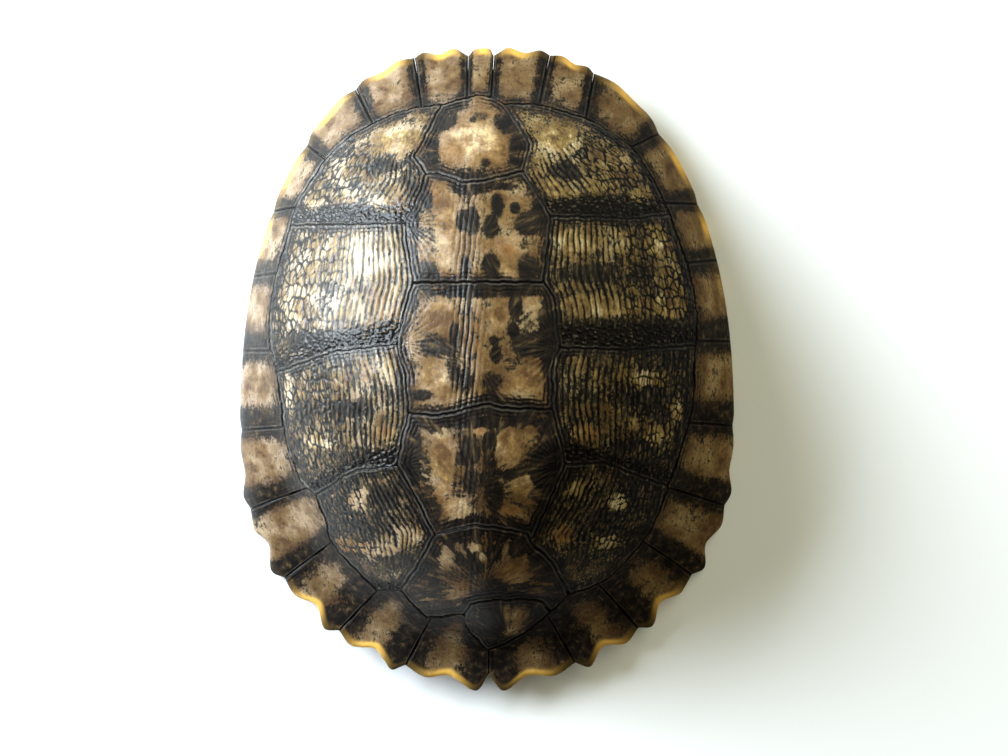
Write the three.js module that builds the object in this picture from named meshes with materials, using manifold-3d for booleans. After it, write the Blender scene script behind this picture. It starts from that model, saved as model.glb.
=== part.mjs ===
// Carapace of a freshwater slider turtle: 39 horny scutes on one fused bony shell.
// Millimetres, +Z up, +Y towards the head, +X to the animal's right.
// The dome is a height formula in polar form about CENTRE_Y; every piece is laid on that formula.
import * as THREE from "three";
import { mergeVertices } from "three/addons/utils/BufferGeometryUtils.js";
import Module from "manifold-3d";

const wasm = await Module();
wasm.setup();

// Driving dimensions of the dome.
const HALF_WIDTH = 77.5;
const FRONT_REACH = 118.2;
const REAR_REACH = 80;
const CENTRE_Y = -20;
const DOME_HEIGHT = 61;
const KEEL_HEIGHT = 2.2;
const KEEL_WIDTH = 13;
const BONE_KEEL_HEIGHT = 1.6;
const RIM_THICKNESS = 2.2;
const FRONT_LIFT = 12;
const REAR_LIFT = 7;
const FRONT_ROUNDING = 2.36;
const REAR_ROUNDING = 2.1;

// How the dome changes from the head to the tail: angles in degrees from the head, each change
// starting at a FROM and taking a SPAN.
const FRONT_LIFT_SPAN = 50;
const REAR_LIFT_FROM = 108;
const FRONT_SPAN = 60;
const REAR_FROM = 90;
const REAR_SPAN = 60;
const REAR_SLOPE_SPAN = 50;

// The marginal band: its start as a share of the radius, its rise and its slope at the rim.
const BAND_START = 0.87;
const BAND_WIDENING = 0.12;
const BAND_WIDENING_FROM = 55;
const BAND_WIDENING_SPAN = 52;
const BAND_RISE = 9;
const BAND_RISE_SIDE = 11;
const BAND_DROP_REAR = 10;
const ARCH_POWER = 2.65;
const ARCH_POWER_DROP = 0.5;
const RIM_SLOPE = 0.5;
const RIM_SLOPE_SIDE = 1.4;
const RIM_SLOPE_REAR_DROP = 1.55;

// The keel's line and its fading out.
const KEEL_X = -1.8;
const KEEL_RETURN = 2.4;
const KEEL_RETURN_LENGTH = 75;
const KEEL_ROUNDING = 1.5;
const KEEL_FADE_FROM = 0.6;
const KEEL_FADE_SPAN = 0.35;

// Scutes, seams and bone.
const SCUTE_THICKNESS = 1.2;
const SEAM_GAP = 0.35;
const BONE_CLEARANCE = 0.6;
const BONE_THICKNESS = 3;
const SEAM_STEP = 8;
const SEAM_STEP_SPARE = 0.2;
const SLOPE_STEP = 0.5;
const SHARPEST_MITRE = 0.5;
const PLATE_RINGS = [1, 0.68, 0.35];
const SECTION_SHARES = [0, 0.35, 0.7, 1];
const FOOT_WIDTH_SIDE = 5;
const FOOT_WIDTH_ENDS = 8;
const FOOT_NARROWING_SPAN = 55;
const FOOT_WIDENING_FROM = 100;
const FOOT_WIDENING_SPAN = 40;
const RIM_CAVITY_INSET = 2.2;

// Edge of the bone inside the rim scutes: its inset, and more of it at the front and the rear.
const BONE_INSET = 4.8;
const BONE_FRONT_INSET = 1.4;
const BONE_FRONT_FROM = 8;
const BONE_FRONT_SPAN = 20;
const BONE_REAR_INSET = 6;
const BONE_REAR_FROM = 92;
const BONE_REAR_SPAN = 34;
const BONE_FLOOR_RISE = 0.2;

// Bone underneath: spine and ribs.
const SPINE_FRONT_Y = 64;
const SPINE_REAR_Y = -68;
const VERTEBRA_COUNT = 10;
const SPINE_DEPTH = 6;
const VERTEBRA_WIDTH = 9;
const VERTEBRA_WAIST = 5;
const RIB_PAIRS = 8;
const RIB_FRONT_Y = 50;
const RIB_PITCH = 14;
const RIB_WIDTH_INNER = 4.5;
const RIB_WIDTH_OUTER = 9;
const RIB_RISE = 1.4;
const RIB_FAN = 7;
const RIB_REACH = 0.78;
const BAR_CROWN = 0.55;
const EMBED = 2;

const LEFT = -1;
const RIGHT = 1;
const FULL_TURN = 360;
const HALF_TURN = 180;
const MERGE_DISTANCE = 1e-4;

const smooth = (t) => THREE.MathUtils.smoothstep(t, 0, 1);
const radians = THREE.MathUtils.degToRad;
const lerp = THREE.MathUtils.lerp;

// Radius of the outline at an angle from the head, in degrees.
function outlineRadius(angle) {
  const across = Math.abs(Math.sin(radians(angle)));
  const along = Math.cos(radians(angle));
  const reach = along > 0 ? FRONT_REACH : REAR_REACH;
  const power = along > 0 ? FRONT_ROUNDING : REAR_ROUNDING;
  const sum = (across / HALF_WIDTH) ** power + (Math.abs(along) / reach) ** power;
  return sum ** (-1 / power);
}

// How far the rim stands off the ground: the front and rear lift, the sides rest.
function rimLift(angle) {
  const front = FRONT_LIFT * (1 - smooth(angle / FRONT_LIFT_SPAN));
  return front + REAR_LIFT * smooth((angle - REAR_LIFT_FROM) / REAR_SPAN);
}

// The keel wanders a little to the left of the middle and comes back at the tail.
function keelX(y) {
  return KEEL_X + KEEL_RETURN * smooth((CENTRE_Y - y) / KEEL_RETURN_LENGTH);
}

// The dome's profile at one angle: an arch down to the marginal band, then the band itself.
function domeProfile(angle) {
  const radius = outlineRadius(angle);
  const rim = rimLift(angle) + RIM_THICKNESS;
  const side = smooth(angle / FRONT_SPAN);
  const rear = smooth((angle - REAR_FROM) / REAR_SPAN);
  const rearSlope = smooth((angle - REAR_FROM) / REAR_SLOPE_SPAN);
  const widening = smooth((angle - BAND_WIDENING_FROM) / BAND_WIDENING_SPAN);
  const bandStart = BAND_START - BAND_WIDENING * widening;
  const band = rim + BAND_RISE + BAND_RISE_SIDE * side - BAND_DROP_REAR * rear;
  const power = ARCH_POWER - ARCH_POWER_DROP * rear;
  const rimSlope = RIM_SLOPE + RIM_SLOPE_SIDE * side - RIM_SLOPE_REAR_DROP * rearSlope;
  return { radius, rim, bandStart, band, power, rimSlope };
}

function shellHeight(x, y, keel = KEEL_HEIGHT) {
  const angle = THREE.MathUtils.radToDeg(Math.atan2(Math.abs(x), y - CENTRE_Y));
  const p = domeProfile(angle);
  const reach = Math.hypot(x, y - CENTRE_Y) / p.radius;
  const drop = DOME_HEIGHT - p.band;
  let z;
  if (reach <= p.bandStart) {
    z = DOME_HEIGHT - drop * (reach / p.bandStart) ** p.power;
  } else {
    const width = (1 - p.bandStart) * p.radius;
    const t = (reach - p.bandStart) / (1 - p.bandStart);
    const startSlope = (-p.power * drop * width) / (p.bandStart * p.radius);
    const endSlope = -p.rimSlope * width;
    const s = Math.min(t, 1);
    z =
      p.band * (2 * s ** 3 - 3 * s ** 2 + 1) +
      startSlope * (s ** 3 - 2 * s ** 2 + s) +
      p.rim * (3 * s ** 2 - 2 * s ** 3) +
      endSlope * (s ** 3 - s ** 2 + Math.max(t - 1, 0));
  }
  const side = Math.sqrt((x - keelX(y)) ** 2 + KEEL_ROUNDING);
  const fade = 1 - smooth((reach - KEEL_FADE_FROM) / KEEL_FADE_SPAN);
  return z + keel * (Math.exp(-side / KEEL_WIDTH) * fade);
}

// The point that lies `depth` below the dome's surface, square to it.
function sink(x, y, depth, keel = KEEL_HEIGHT) {
  const height = (atX, atY) => shellHeight(atX, atY, keel);
  const slopeX = (height(x + SLOPE_STEP, y) - height(x - SLOPE_STEP, y)) / (2 * SLOPE_STEP);
  const slopeY = (height(x, y + SLOPE_STEP) - height(x, y - SLOPE_STEP)) / (2 * SLOPE_STEP);
  const normal = new THREE.Vector3(-slopeX, -slopeY, 1).normalize();
  return new THREE.Vector3(x, y, height(x, y)).addScaledVector(normal, -depth);
}

// Signed angle (0 at the head, positive to the right) and radius to a point of the plan.
function polarPoint(signedAngle, radius) {
  const a = radians(signedAngle);
  return new THREE.Vector2(Math.sin(a) * radius, CENTRE_Y + Math.cos(a) * radius);
}

const points = (...pairs) => pairs.map(([x, y]) => new THREE.Vector2(x, y));

// Inner border of the marginal scutes, from the front round the left side to the tail and back.
const BORDER = points(
  [-2.5, 82], [-6.5, 81], [-13.5, 79], [-20, 78.5], [-27.5, 77], [-34.5, 74], [-41.5, 70.5],
  [-49, 64], [-53, 58], [-58.5, 50], [-60, 43.5], [-61, 39], [-64, 29], [-66, 16], [-65.5, 5.5],
  [-63.5, -1.5], [-62, -10.5], [-61.5, -18.5], [-55.5, -35.5], [-51, -38.5], [-48.5, -45.5],
  [-47, -53], [-40, -60.5], [-33.5, -67.5], [-25.5, -66.5], [-21, -72.5], [-18, -75.5],
  [-6.5, -73.5], [-6, -79], [-2.5, -83.5], [0.5, -87], [10, -82], [19, -74], [24.5, -68],
  [35.5, -64.5], [45.5, -55], [49, -50.5], [55, -35.5], [59, -24], [62.5, -10.5], [62.5, 2.5],
  [63.5, 15.5], [61.5, 28.5], [58, 39], [55, 48], [52, 54.5], [45, 66], [31, 75], [23.5, 77],
  [16, 79], [5.5, 79], [1.5, 81.5],
).map((p) => ({
  angle: THREE.MathUtils.radToDeg(Math.atan2(p.x, p.y - CENTRE_Y)),
  radius: Math.hypot(p.x, p.y - CENTRE_Y),
}));

// Radius of the marginal border at a signed angle.
function borderRadius(signedAngle) {
  for (let i = 0; i < BORDER.length; i++) {
    const from = BORDER[i];
    const to = BORDER[(i + 1) % BORDER.length];
    const span = THREE.MathUtils.euclideanModulo(from.angle - to.angle, FULL_TURN);
    const along = THREE.MathUtils.euclideanModulo(from.angle - signedAngle, FULL_TURN);
    if (along <= span) return lerp(from.radius, to.radius, along / span);
  }
  return outlineRadius(Math.abs(signedAngle));
}

const borderPoint = (signedAngle) => polarPoint(signedAngle, borderRadius(signedAngle));

// Signed angle of a turn, brought into -180..180.
function halfTurn(angle) {
  return THREE.MathUtils.euclideanModulo(angle + HALF_TURN, FULL_TURN) - HALF_TURN;
}

// The border's own points strictly between two signed angles, as turns from the first.
function borderTurns(from, to) {
  const turn = halfTurn(to - from);
  return BORDER.map((p) => halfTurn(p.angle - from))
    .filter((t) => t * turn > 0 && Math.abs(t) < Math.abs(turn))
    .sort((a, b) => Math.abs(a) - Math.abs(b));
}

// The border between two signed angles, walked the shorter way round, without its last point.
function borderRun(from, to) {
  return [0, ...borderTurns(from, to)].map((turn) => borderPoint(from + turn));
}

// Signed angles at which the seams between the large scutes meet the marginal border.
const MEETS = {
  v1Left: -7.8, v1Right: 3.1,
  c1c2Left: -43.4, c1c2Right: 39.9,
  c2c3Left: -73.7, c2c3Right: 67.1,
  c3c4Left: -109.5, c3c4Right: 106.1,
  c4v5Left: -151.1, c4v5Right: 152.3,
  v5v6Left: -173, v5v6Right: 160,
};

// Corners where three large scutes meet.
const [v1v2c1L, v1v2c1R] = points([-17.5, 56.5], [11, 57]);
const [c1c2v2L, c1c2v2R] = points([-23, 41.5], [18.5, 43.5]);
const [v2v3c2L, v2v3c2R] = points([-20.5, 24], [16.5, 24]);
const [c2c3v3L, c2c3v3R] = points([-25, 6.5], [21, 5.5]);
const [v3v4c3L, v3v4c3R] = points([-21.5, -13], [19, -12]);
const [c3c4v4L, c3c4v4R] = points([-25, -28], [22.5, -27.5]);
const [v4v5c4L, v4v5c4R] = points([-14.5, -48], [13, -50]);

// The seams between the large scutes, each from one corner to the next.
const SEAMS = {
  v1Left: [borderPoint(MEETS.v1Left), ...points([-18.5, 67.5], [-21, 62]), v1v2c1L],
  v1Right: [borderPoint(MEETS.v1Right), ...points([10.5, 70.5], [12.5, 66]), v1v2c1R],
  v1v2: [v1v2c1L, ...points([-13, 56], [-6, 53.5], [0, 54]), v1v2c1R],
  v2UpperLeft: [v1v2c1L, ...points([-18.5, 52.5]), c1c2v2L],
  v2UpperRight: [v1v2c1R, ...points([15, 50]), c1c2v2R],
  v2LowerLeft: [c1c2v2L, ...points([-22.5, 36.5]), v2v3c2L],
  v2LowerRight: [c1c2v2R, ...points([18, 36]), v2v3c2R],
  v2v3: [v2v3c2L, ...points([-2, 24]), v2v3c2R],
  v3UpperLeft: [v2v3c2L, ...points([-22, 19.5]), c2c3v3L],
  v3UpperRight: [v2v3c2R, ...points([19.5, 19.5]), c2c3v3R],
  v3LowerLeft: [c2c3v3L, ...points([-22.5, -2.5]), v3v4c3L],
  v3LowerRight: [c2c3v3R, ...points([19, 0]), v3v4c3R],
  v3v4: [v3v4c3L, ...points([-13, -13.5], [-6, -12], [0, -10.5], [6, -11.5]), v3v4c3R],
  v4UpperLeft: [v3v4c3L, ...points([-23.5, -20]), c3c4v4L],
  v4UpperRight: [v3v4c3R, ...points([21, -19.5]), c3c4v4R],
  v4LowerLeft: [c3c4v4L, ...points([-21, -34.5]), v4v5c4L],
  v4LowerRight: [c3c4v4R, ...points([18, -38.5]), v4v5c4R],
  v4v5: [v4v5c4L, ...points([-9.5, -46.5], [-4, -45], [3, -45.5], [12, -47.5]), v4v5c4R],
  c1c2Left: [c1c2v2L, ...points([-40, 42]), borderPoint(MEETS.c1c2Left)],
  c1c2Right: [c1c2v2R, ...points([44, 44]), borderPoint(MEETS.c1c2Right)],
  c2c3Left: [c2c3v3L, ...points([-43.5, 4.5]), borderPoint(MEETS.c2c3Left)],
  c2c3Right: [c2c3v3R, ...points([40, 5]), borderPoint(MEETS.c2c3Right)],
  c3c4Left: [c3c4v4L, ...points([-38, -30]), borderPoint(MEETS.c3c4Left)],
  c3c4Right: [c3c4v4R, ...points([34, -27.5]), borderPoint(MEETS.c3c4Right)],
  c4v5Left: [v4v5c4L, ...points([-20, -58]), borderPoint(MEETS.c4v5Left)],
  c4v5Right: [v4v5c4R, ...points([19, -56.5]), borderPoint(MEETS.c4v5Right)],
  v5v6: [
    borderPoint(MEETS.v5v6Left),
    ...points([-4.5, -70], [1, -68.5], [12, -68.5], [17, -70]),
    borderPoint(MEETS.v5v6Right),
  ],
};

// A seam's points with long stretches split evenly, without the last point.
function seamRun(name, backwards = false) {
  const corners = backwards ? [...SEAMS[name]].reverse() : SEAMS[name];
  return corners.slice(0, -1).flatMap((from, i) => {
    const to = corners[i + 1];
    const steps = Math.ceil(from.distanceTo(to) / SEAM_STEP - SEAM_STEP_SPARE);
    return Array.from({ length: steps }, (_, k) => from.clone().lerp(to, k / steps));
  });
}

const back = (name) => seamRun(name, true);

// Outlines of the large scutes, walked anticlockwise seen from above.
function vertebralOutlines() {
  return [
    [...borderRun(MEETS.v1Right, MEETS.v1Left), ...seamRun("v1Left"), ...seamRun("v1v2"),
      ...back("v1Right")],
    [...back("v1v2"), ...seamRun("v2UpperLeft"), ...seamRun("v2LowerLeft"), ...seamRun("v2v3"),
      ...back("v2LowerRight"), ...back("v2UpperRight")],
    [...back("v2v3"), ...seamRun("v3UpperLeft"), ...seamRun("v3LowerLeft"), ...seamRun("v3v4"),
      ...back("v3LowerRight"), ...back("v3UpperRight")],
    [...back("v3v4"), ...seamRun("v4UpperLeft"), ...seamRun("v4LowerLeft"), ...seamRun("v4v5"),
      ...back("v4LowerRight"), ...back("v4UpperRight")],
    [...back("v4v5"), ...seamRun("c4v5Left"), ...borderRun(MEETS.c4v5Left, MEETS.v5v6Left),
      ...seamRun("v5v6"), ...borderRun(MEETS.v5v6Right, MEETS.c4v5Right), ...back("c4v5Right")],
    [...back("v5v6"), ...borderRun(MEETS.v5v6Left, MEETS.v5v6Right)],
  ];
}

const PLEURAL_OUTLINES = {
  left: [
    [...back("v1Left"), ...borderRun(MEETS.v1Left, MEETS.c1c2Left), ...back("c1c2Left"),
      ...back("v2UpperLeft")],
    [...seamRun("c1c2Left"), ...borderRun(MEETS.c1c2Left, MEETS.c2c3Left), ...back("c2c3Left"),
      ...back("v3UpperLeft"), ...back("v2LowerLeft")],
    [...seamRun("c2c3Left"), ...borderRun(MEETS.c2c3Left, MEETS.c3c4Left), ...back("c3c4Left"),
      ...back("v4UpperLeft"), ...back("v3LowerLeft")],
    [...seamRun("c3c4Left"), ...borderRun(MEETS.c3c4Left, MEETS.c4v5Left), ...back("c4v5Left"),
      ...back("v4LowerLeft")],
  ],
  right: [
    [...seamRun("v1Right"), ...seamRun("v2UpperRight"), ...seamRun("c1c2Right"),
      ...borderRun(MEETS.c1c2Right, MEETS.v1Right)],
    [...back("c1c2Right"), ...seamRun("v2LowerRight"), ...seamRun("v3UpperRight"),
      ...seamRun("c2c3Right"), ...borderRun(MEETS.c2c3Right, MEETS.c1c2Right)],
    [...back("c2c3Right"), ...seamRun("v3LowerRight"), ...seamRun("v4UpperRight"),
      ...seamRun("c3c4Right"), ...borderRun(MEETS.c3c4Right, MEETS.c2c3Right)],
    [...back("c3c4Right"), ...seamRun("v4LowerRight"), ...seamRun("c4v5Right"),
      ...borderRun(MEETS.c4v5Right, MEETS.c3c4Right)],
  ],
};

// Moves an anticlockwise outline inwards by half the seam gap.
function inset(outline) {
  return outline.map((p, i) => {
    const before = outline[(i + outline.length - 1) % outline.length];
    const after = outline[(i + 1) % outline.length];
    const inA = p.clone().sub(before).normalize();
    const inB = after.clone().sub(p).normalize();
    const inward = new THREE.Vector2(-inA.y - inB.y, inA.x + inB.x).normalize();
    const mitre = Math.max(SHARPEST_MITRE, inward.dot(new THREE.Vector2(-inA.y, inA.x)));
    return p.clone().addScaledVector(inward, SEAM_GAP / 2 / mitre);
  });
}

function meshGeometry(vertices, faces) {
  const positions = new Float32Array(vertices.flatMap((v) => [v.x, v.y, v.z]));
  const geometry = new THREE.BufferGeometry();
  geometry.setAttribute("position", new THREE.BufferAttribute(positions, 3));
  geometry.setIndex(faces.flat());
  geometry.computeVertexNormals();
  return geometry;
}

// A thin plate on the dome inside an outline: rings round a middle point, above and below.
function plateGeometry(outline) {
  const edge = inset(outline);
  const count = edge.length;
  const centre = edge.reduce((sum, p) => sum.add(p), new THREE.Vector2()).divideScalar(count);
  const plan = PLATE_RINGS.flatMap((size) => edge.map((p) => centre.clone().lerp(p, size)));
  plan.push(centre);
  const top = plan.map((p) => sink(p.x, p.y, 0));
  const under = plan.map((p) => sink(p.x, p.y, SCUTE_THICKNESS));
  const middle = plan.length - 1;
  const faces = [];
  const quad = (a, b, c, d) => faces.push([a, b, c], [a, c, d]);
  for (let i = 0; i < count; i++) {
    const j = (i + 1) % count;
    for (let ring = 0; ring + 1 < PLATE_RINGS.length; ring++) {
      const [outer, inner] = [ring * count, (ring + 1) * count];
      const below = plan.length;
      quad(outer + i, outer + j, inner + j, inner + i);
      quad(below + outer + j, below + outer + i, below + inner + i, below + inner + j);
    }
    const last = (PLATE_RINGS.length - 1) * count;
    faces.push([last + i, last + j, middle]);
    faces.push([plan.length + last + j, plan.length + last + i, plan.length + middle]);
    quad(i, plan.length + i, plan.length + j, j);
  }
  return meshGeometry([...top, ...under], faces);
}

// Angles of the marginal seams from the head: at the rim and at the inner border.
const MARGINAL_SEAMS = {
  left: {
    rim: [2.8, 10.9, 20.9, 32.1, 44.1, 56.4, 71.6, 89.6, 108, 125.8, 143.3, 160.7, 180.5],
    inner: [3.4, 11.2, 20.2, 30.5, 40.4, 52.8, 69.1, 88.1, 106.7, 125, 145.1, 163.4, 180.5],
  },
  right: {
    rim: [1.1, 9.5, 16.6, 30, 42.8, 53.3, 69.6, 88.5, 107.2, 124.9, 142.3, 159, 179.5],
    inner: [0.9, 9.1, 17.6, 26.8, 37.8, 49.7, 66.2, 87.1, 106.4, 124.4, 143.4, 161.6, 179.5],
  },
};

// Serration of the rim, in mm off the smooth outline: at each marginal's front seam, its lobe,
// the notch in its middle and its rear tip. The last row is the notch at the tail.
const TOOTH_PLACES = [0, 0.25, 0.55, 0.86, 1];
const TEETH = [
  [-2.2, 0.3, -0.8, 0.8],
  [0, 0.9, -0.2, 0.7],
  [-0.2, 0.9, 0.4, 0.4],
  [-0.8, 0, 0, 0],
  [-0.6, 0, 0, 0],
  [0, 0, 0, 0],
  [0, 0, 0, 0],
  [-0.5, -0.1, -0.9, 1],
  [-0.2, 0.7, -2, 1],
  [-1.4, -1, -4.2, -0.9],
  [-3.3, -1.9, -4.9, -1.2],
  [-4, -2.2, -3.9, 0],
  [-5.2],
];
const CERVICAL_TEETH = [-2.2, -0.4, 0, -0.4, -2.2];

// Width of the flat underside of the rim, which the shell rests on along its sides.
function footWidth(angle) {
  const narrowing = smooth(angle / FOOT_NARROWING_SPAN);
  const side = narrowing - smooth((angle - FOOT_WIDENING_FROM) / FOOT_WIDENING_SPAN);
  return lerp(FOOT_WIDTH_ENDS, FOOT_WIDTH_SIDE, side);
}

// The section of a rim scute: over the top, round the edge and back under the rim.
function rimSection(innerAngle, rimAngle, tooth) {
  const edge = outlineRadius(Math.abs(rimAngle)) + tooth;
  const start = borderRadius(innerAngle) + SEAM_GAP / 2;
  const across = SECTION_SHARES.map((s) =>
    polarPoint(lerp(innerAngle, rimAngle, s), lerp(start, edge, s)),
  );
  const lift = rimLift(Math.abs(rimAngle));
  const at = (radius, z) => {
    const p = polarPoint(rimAngle, radius);
    return new THREE.Vector3(p.x, p.y, z);
  };
  const foot = edge - footWidth(Math.abs(rimAngle));
  return [
    ...across.map((p) => sink(p.x, p.y, 0)),
    at(edge, lift),
    at(foot, lift),
    at(foot, lift + SCUTE_THICKNESS),
    at(edge - RIM_CAVITY_INSET, lift + SCUTE_THICKNESS),
    ...across.slice(0, 3).reverse().map((p) => sink(p.x, p.y, SCUTE_THICKNESS)),
  ];
}

// A rim scute's stations: the places of its teeth, and each bend of the inner border.
function rimStations(innerAngles) {
  const NEAREST = 0.05;
  const span = innerAngles[1] - innerAngles[0];
  const bends = borderTurns(innerAngles[0], innerAngles[1])
    .map((turn) => turn / span)
    .filter((t) => TOOTH_PLACES.every((place) => Math.abs(place - t) > NEAREST));
  return [...TOOTH_PLACES, ...bends].sort((a, b) => a - b);
}

function toothAt(teeth, t) {
  const i = Math.min(TOOTH_PLACES.findLastIndex((place) => place <= t), TOOTH_PLACES.length - 2);
  const along = (t - TOOTH_PLACES[i]) / (TOOTH_PLACES[i + 1] - TOOTH_PLACES[i]);
  return lerp(teeth[i], teeth[i + 1], along);
}

// A scute folded over the rim, from one seam to the next.
function rimScuteGeometry(innerAngles, rimAngles, teeth) {
  const gapAngle = THREE.MathUtils.radToDeg(SEAM_GAP / 2 / HALF_WIDTH);
  const turn = Math.sign(rimAngles[1] - rimAngles[0]);
  const sections = rimStations(innerAngles).map((t) => {
    const trim = turn * gapAngle * (Number(t === 0) - Number(t === 1));
    return rimSection(
      lerp(innerAngles[0], innerAngles[1], t) + trim,
      lerp(rimAngles[0], rimAngles[1], t) + trim,
      toothAt(teeth, t),
    );
  });
  const size = sections[0].length;
  const faces = [];
  for (let s = 0; s + 1 < sections.length; s++) {
    for (let i = 0; i < size; i++) {
      const j = (i + 1) % size;
      const [a, b, c, d] = [s * size + i, s * size + j, (s + 1) * size + j, (s + 1) * size + i];
      faces.push([a, b, c], [a, c, d]);
    }
  }
  // The ends are C shapes: each outer point is joined to the inner point that lies opposite.
  const endStrip = [[0, 1, 10], [1, 9, 10], [1, 2, 9], [2, 8, 9], [2, 3, 8], [3, 7, 8], [3, 4, 7],
    [4, 6, 7], [4, 5, 6]];
  const last = (sections.length - 1) * size;
  for (const [a, b, c] of endStrip) {
    faces.push([a, c, b], [last + a, last + b, last + c]);
  }
  const oriented = turn < 0 ? faces : faces.map(([a, b, c]) => [a, c, b]);
  return meshGeometry(sections.flat(), oriented);
}

// Edge of the bone, which stays inside the fold of the rim scutes and clear of their notches.
function boneEdgeRadius(angle) {
  const front = BONE_FRONT_INSET * (1 - smooth((angle - BONE_FRONT_FROM) / BONE_FRONT_SPAN));
  const rear = BONE_REAR_INSET * smooth((angle - BONE_REAR_FROM) / BONE_REAR_SPAN);
  return outlineRadius(angle) - BONE_INSET - front - rear;
}

// The fused bony shell as one closed polar grid: rings over the top, a rim, rings back below.
function boneShell() {
  const SPOKES = 44;
  const TOP_RINGS = [0.15, 0.3, 0.45, 0.58, 0.68, 0.76, 0.83, 0.89];
  const UNDER_RINGS = [0.85, 0.74, 0.6, 0.45, 0.3, 0.15];
  const INNER_WALL_INSET = 2.5;
  const topDepth = SCUTE_THICKNESS + BONE_CLEARANCE;
  const underDepth = topDepth + BONE_THICKNESS;
  const vertices = [sink(0, CENTRE_Y, topDepth, BONE_KEEL_HEIGHT)];
  for (let i = 0; i < SPOKES; i++) {
    const signed = (i * FULL_TURN) / SPOKES;
    const angle = signed > HALF_TURN ? FULL_TURN - signed : signed;
    const ringPoint = (radius, depth, keel) => {
      const p = polarPoint(signed, radius);
      return sink(p.x, p.y, depth, keel);
    };
    const radius = outlineRadius(angle);
    const floor = rimLift(angle) + SCUTE_THICKNESS + BONE_CLEARANCE;
    const underPoint = (radius) => {
      const p = ringPoint(radius, underDepth, 0);
      return p.setZ(Math.max(p.z, floor + BONE_FLOOR_RISE));
    };
    const rimTop = ringPoint(boneEdgeRadius(angle), topDepth, BONE_KEEL_HEIGHT);
    const wall = polarPoint(signed, radius - footWidth(angle) - INNER_WALL_INSET);
    vertices.push(
      ...TOP_RINGS.map((ring) => ringPoint(ring * radius, topDepth, BONE_KEEL_HEIGHT)),
      rimTop,
      new THREE.Vector3(rimTop.x, rimTop.y, floor),
      new THREE.Vector3(wall.x, wall.y, floor + BONE_FLOOR_RISE),
      ...UNDER_RINGS.map((ring) => underPoint(ring * radius)),
    );
  }
  vertices.push(sink(0, CENTRE_Y, underDepth, 0));
  const rings = TOP_RINGS.length + 3 + UNDER_RINGS.length;
  const bottom = vertices.length - 1;
  const at = (spoke, ring) => 1 + (spoke % SPOKES) * rings + ring;
  const faces = [];
  for (let i = 0; i < SPOKES; i++) {
    faces.push([0, at(i + 1, 0), at(i, 0)]);
    for (let k = 0; k + 1 < rings; k++) {
      faces.push([at(i, k), at(i + 1, k), at(i + 1, k + 1)]);
      faces.push([at(i, k), at(i + 1, k + 1), at(i, k + 1)]);
    }
    faces.push([at(i, rings - 1), at(i + 1, rings - 1), bottom]);
  }
  return meshGeometry(vertices, faces);
}

// A bar on the underside of the bone: four-sided sections along a plan path.
function underBar(path, widths, rise) {
  const rootDepth = SCUTE_THICKNESS + BONE_CLEARANCE + BONE_THICKNESS - EMBED;
  const vertices = [];
  path.forEach((p, i) => {
    const ahead = path[Math.min(i + 1, path.length - 1)];
    const behind = path[Math.max(i - 1, 0)];
    const across = ahead.clone().sub(behind).normalize();
    const side = new THREE.Vector2(-across.y, across.x).multiplyScalar(widths[i] / 2);
    const crown = side.clone().multiplyScalar(BAR_CROWN);
    const left = p.clone().add(side);
    const right = p.clone().sub(side);
    const lowLeft = p.clone().add(crown);
    const lowRight = p.clone().sub(crown);
    vertices.push(
      sink(left.x, left.y, rootDepth, 0),
      sink(right.x, right.y, rootDepth, 0),
      sink(lowRight.x, lowRight.y, rootDepth + EMBED + rise, 0),
      sink(lowLeft.x, lowLeft.y, rootDepth + EMBED + rise, 0),
    );
  });
  const faces = [[0, 2, 1], [0, 3, 2]];
  for (let s = 0; s + 1 < path.length; s++) {
    for (let i = 0; i < 4; i++) {
      const j = (i + 1) % 4;
      faces.push([4 * s + i, 4 * s + j, 4 * s + 4 + j], [4 * s + i, 4 * s + 4 + j, 4 * s + 4 + i]);
    }
  }
  const end = 4 * (path.length - 1);
  faces.push([end, end + 1, end + 2], [end, end + 2, end + 3]);
  return meshGeometry(vertices, faces);
}

function spine() {
  const stations = 2 * VERTEBRA_COUNT;
  const path = [];
  const widths = [];
  for (let i = 0; i <= stations; i++) {
    const y = lerp(SPINE_FRONT_Y, SPINE_REAR_Y, i / stations);
    path.push(new THREE.Vector2(keelX(y), y));
    widths.push(i % 2 ? VERTEBRA_WAIST : VERTEBRA_WIDTH);
  }
  return underBar(path, widths, SPINE_DEPTH);
}

// Ribs fan slightly: the front ones lean forwards and the rear ones back.
function rib(index, side) {
  const STATIONS = 4;
  const fan = (index - (RIB_PAIRS - 1) / 2) * RIB_FAN;
  const y = RIB_FRONT_Y - index * RIB_PITCH;
  const foot = new THREE.Vector2(keelX(y), y);
  const angle = side * (90 + fan);
  const direction = new THREE.Vector2(Math.sin(radians(angle)), Math.cos(radians(angle)));
  let length = 0;
  const inside = (distance) => {
    const p = foot.clone().addScaledVector(direction, distance);
    const at = THREE.MathUtils.radToDeg(Math.atan2(Math.abs(p.x), p.y - CENTRE_Y));
    return Math.hypot(p.x, p.y - CENTRE_Y) < RIB_REACH * outlineRadius(at);
  };
  while (inside(length + 1)) length += 1;
  const path = Array.from({ length: STATIONS }, (_, i) =>
    foot.clone().addScaledVector(direction, (length * i) / (STATIONS - 1)),
  );
  const widths = path.map((_, i) => lerp(RIB_WIDTH_INNER, RIB_WIDTH_OUTER, i / (STATIONS - 1)));
  return underBar(path, widths, RIB_RISE);
}

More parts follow.
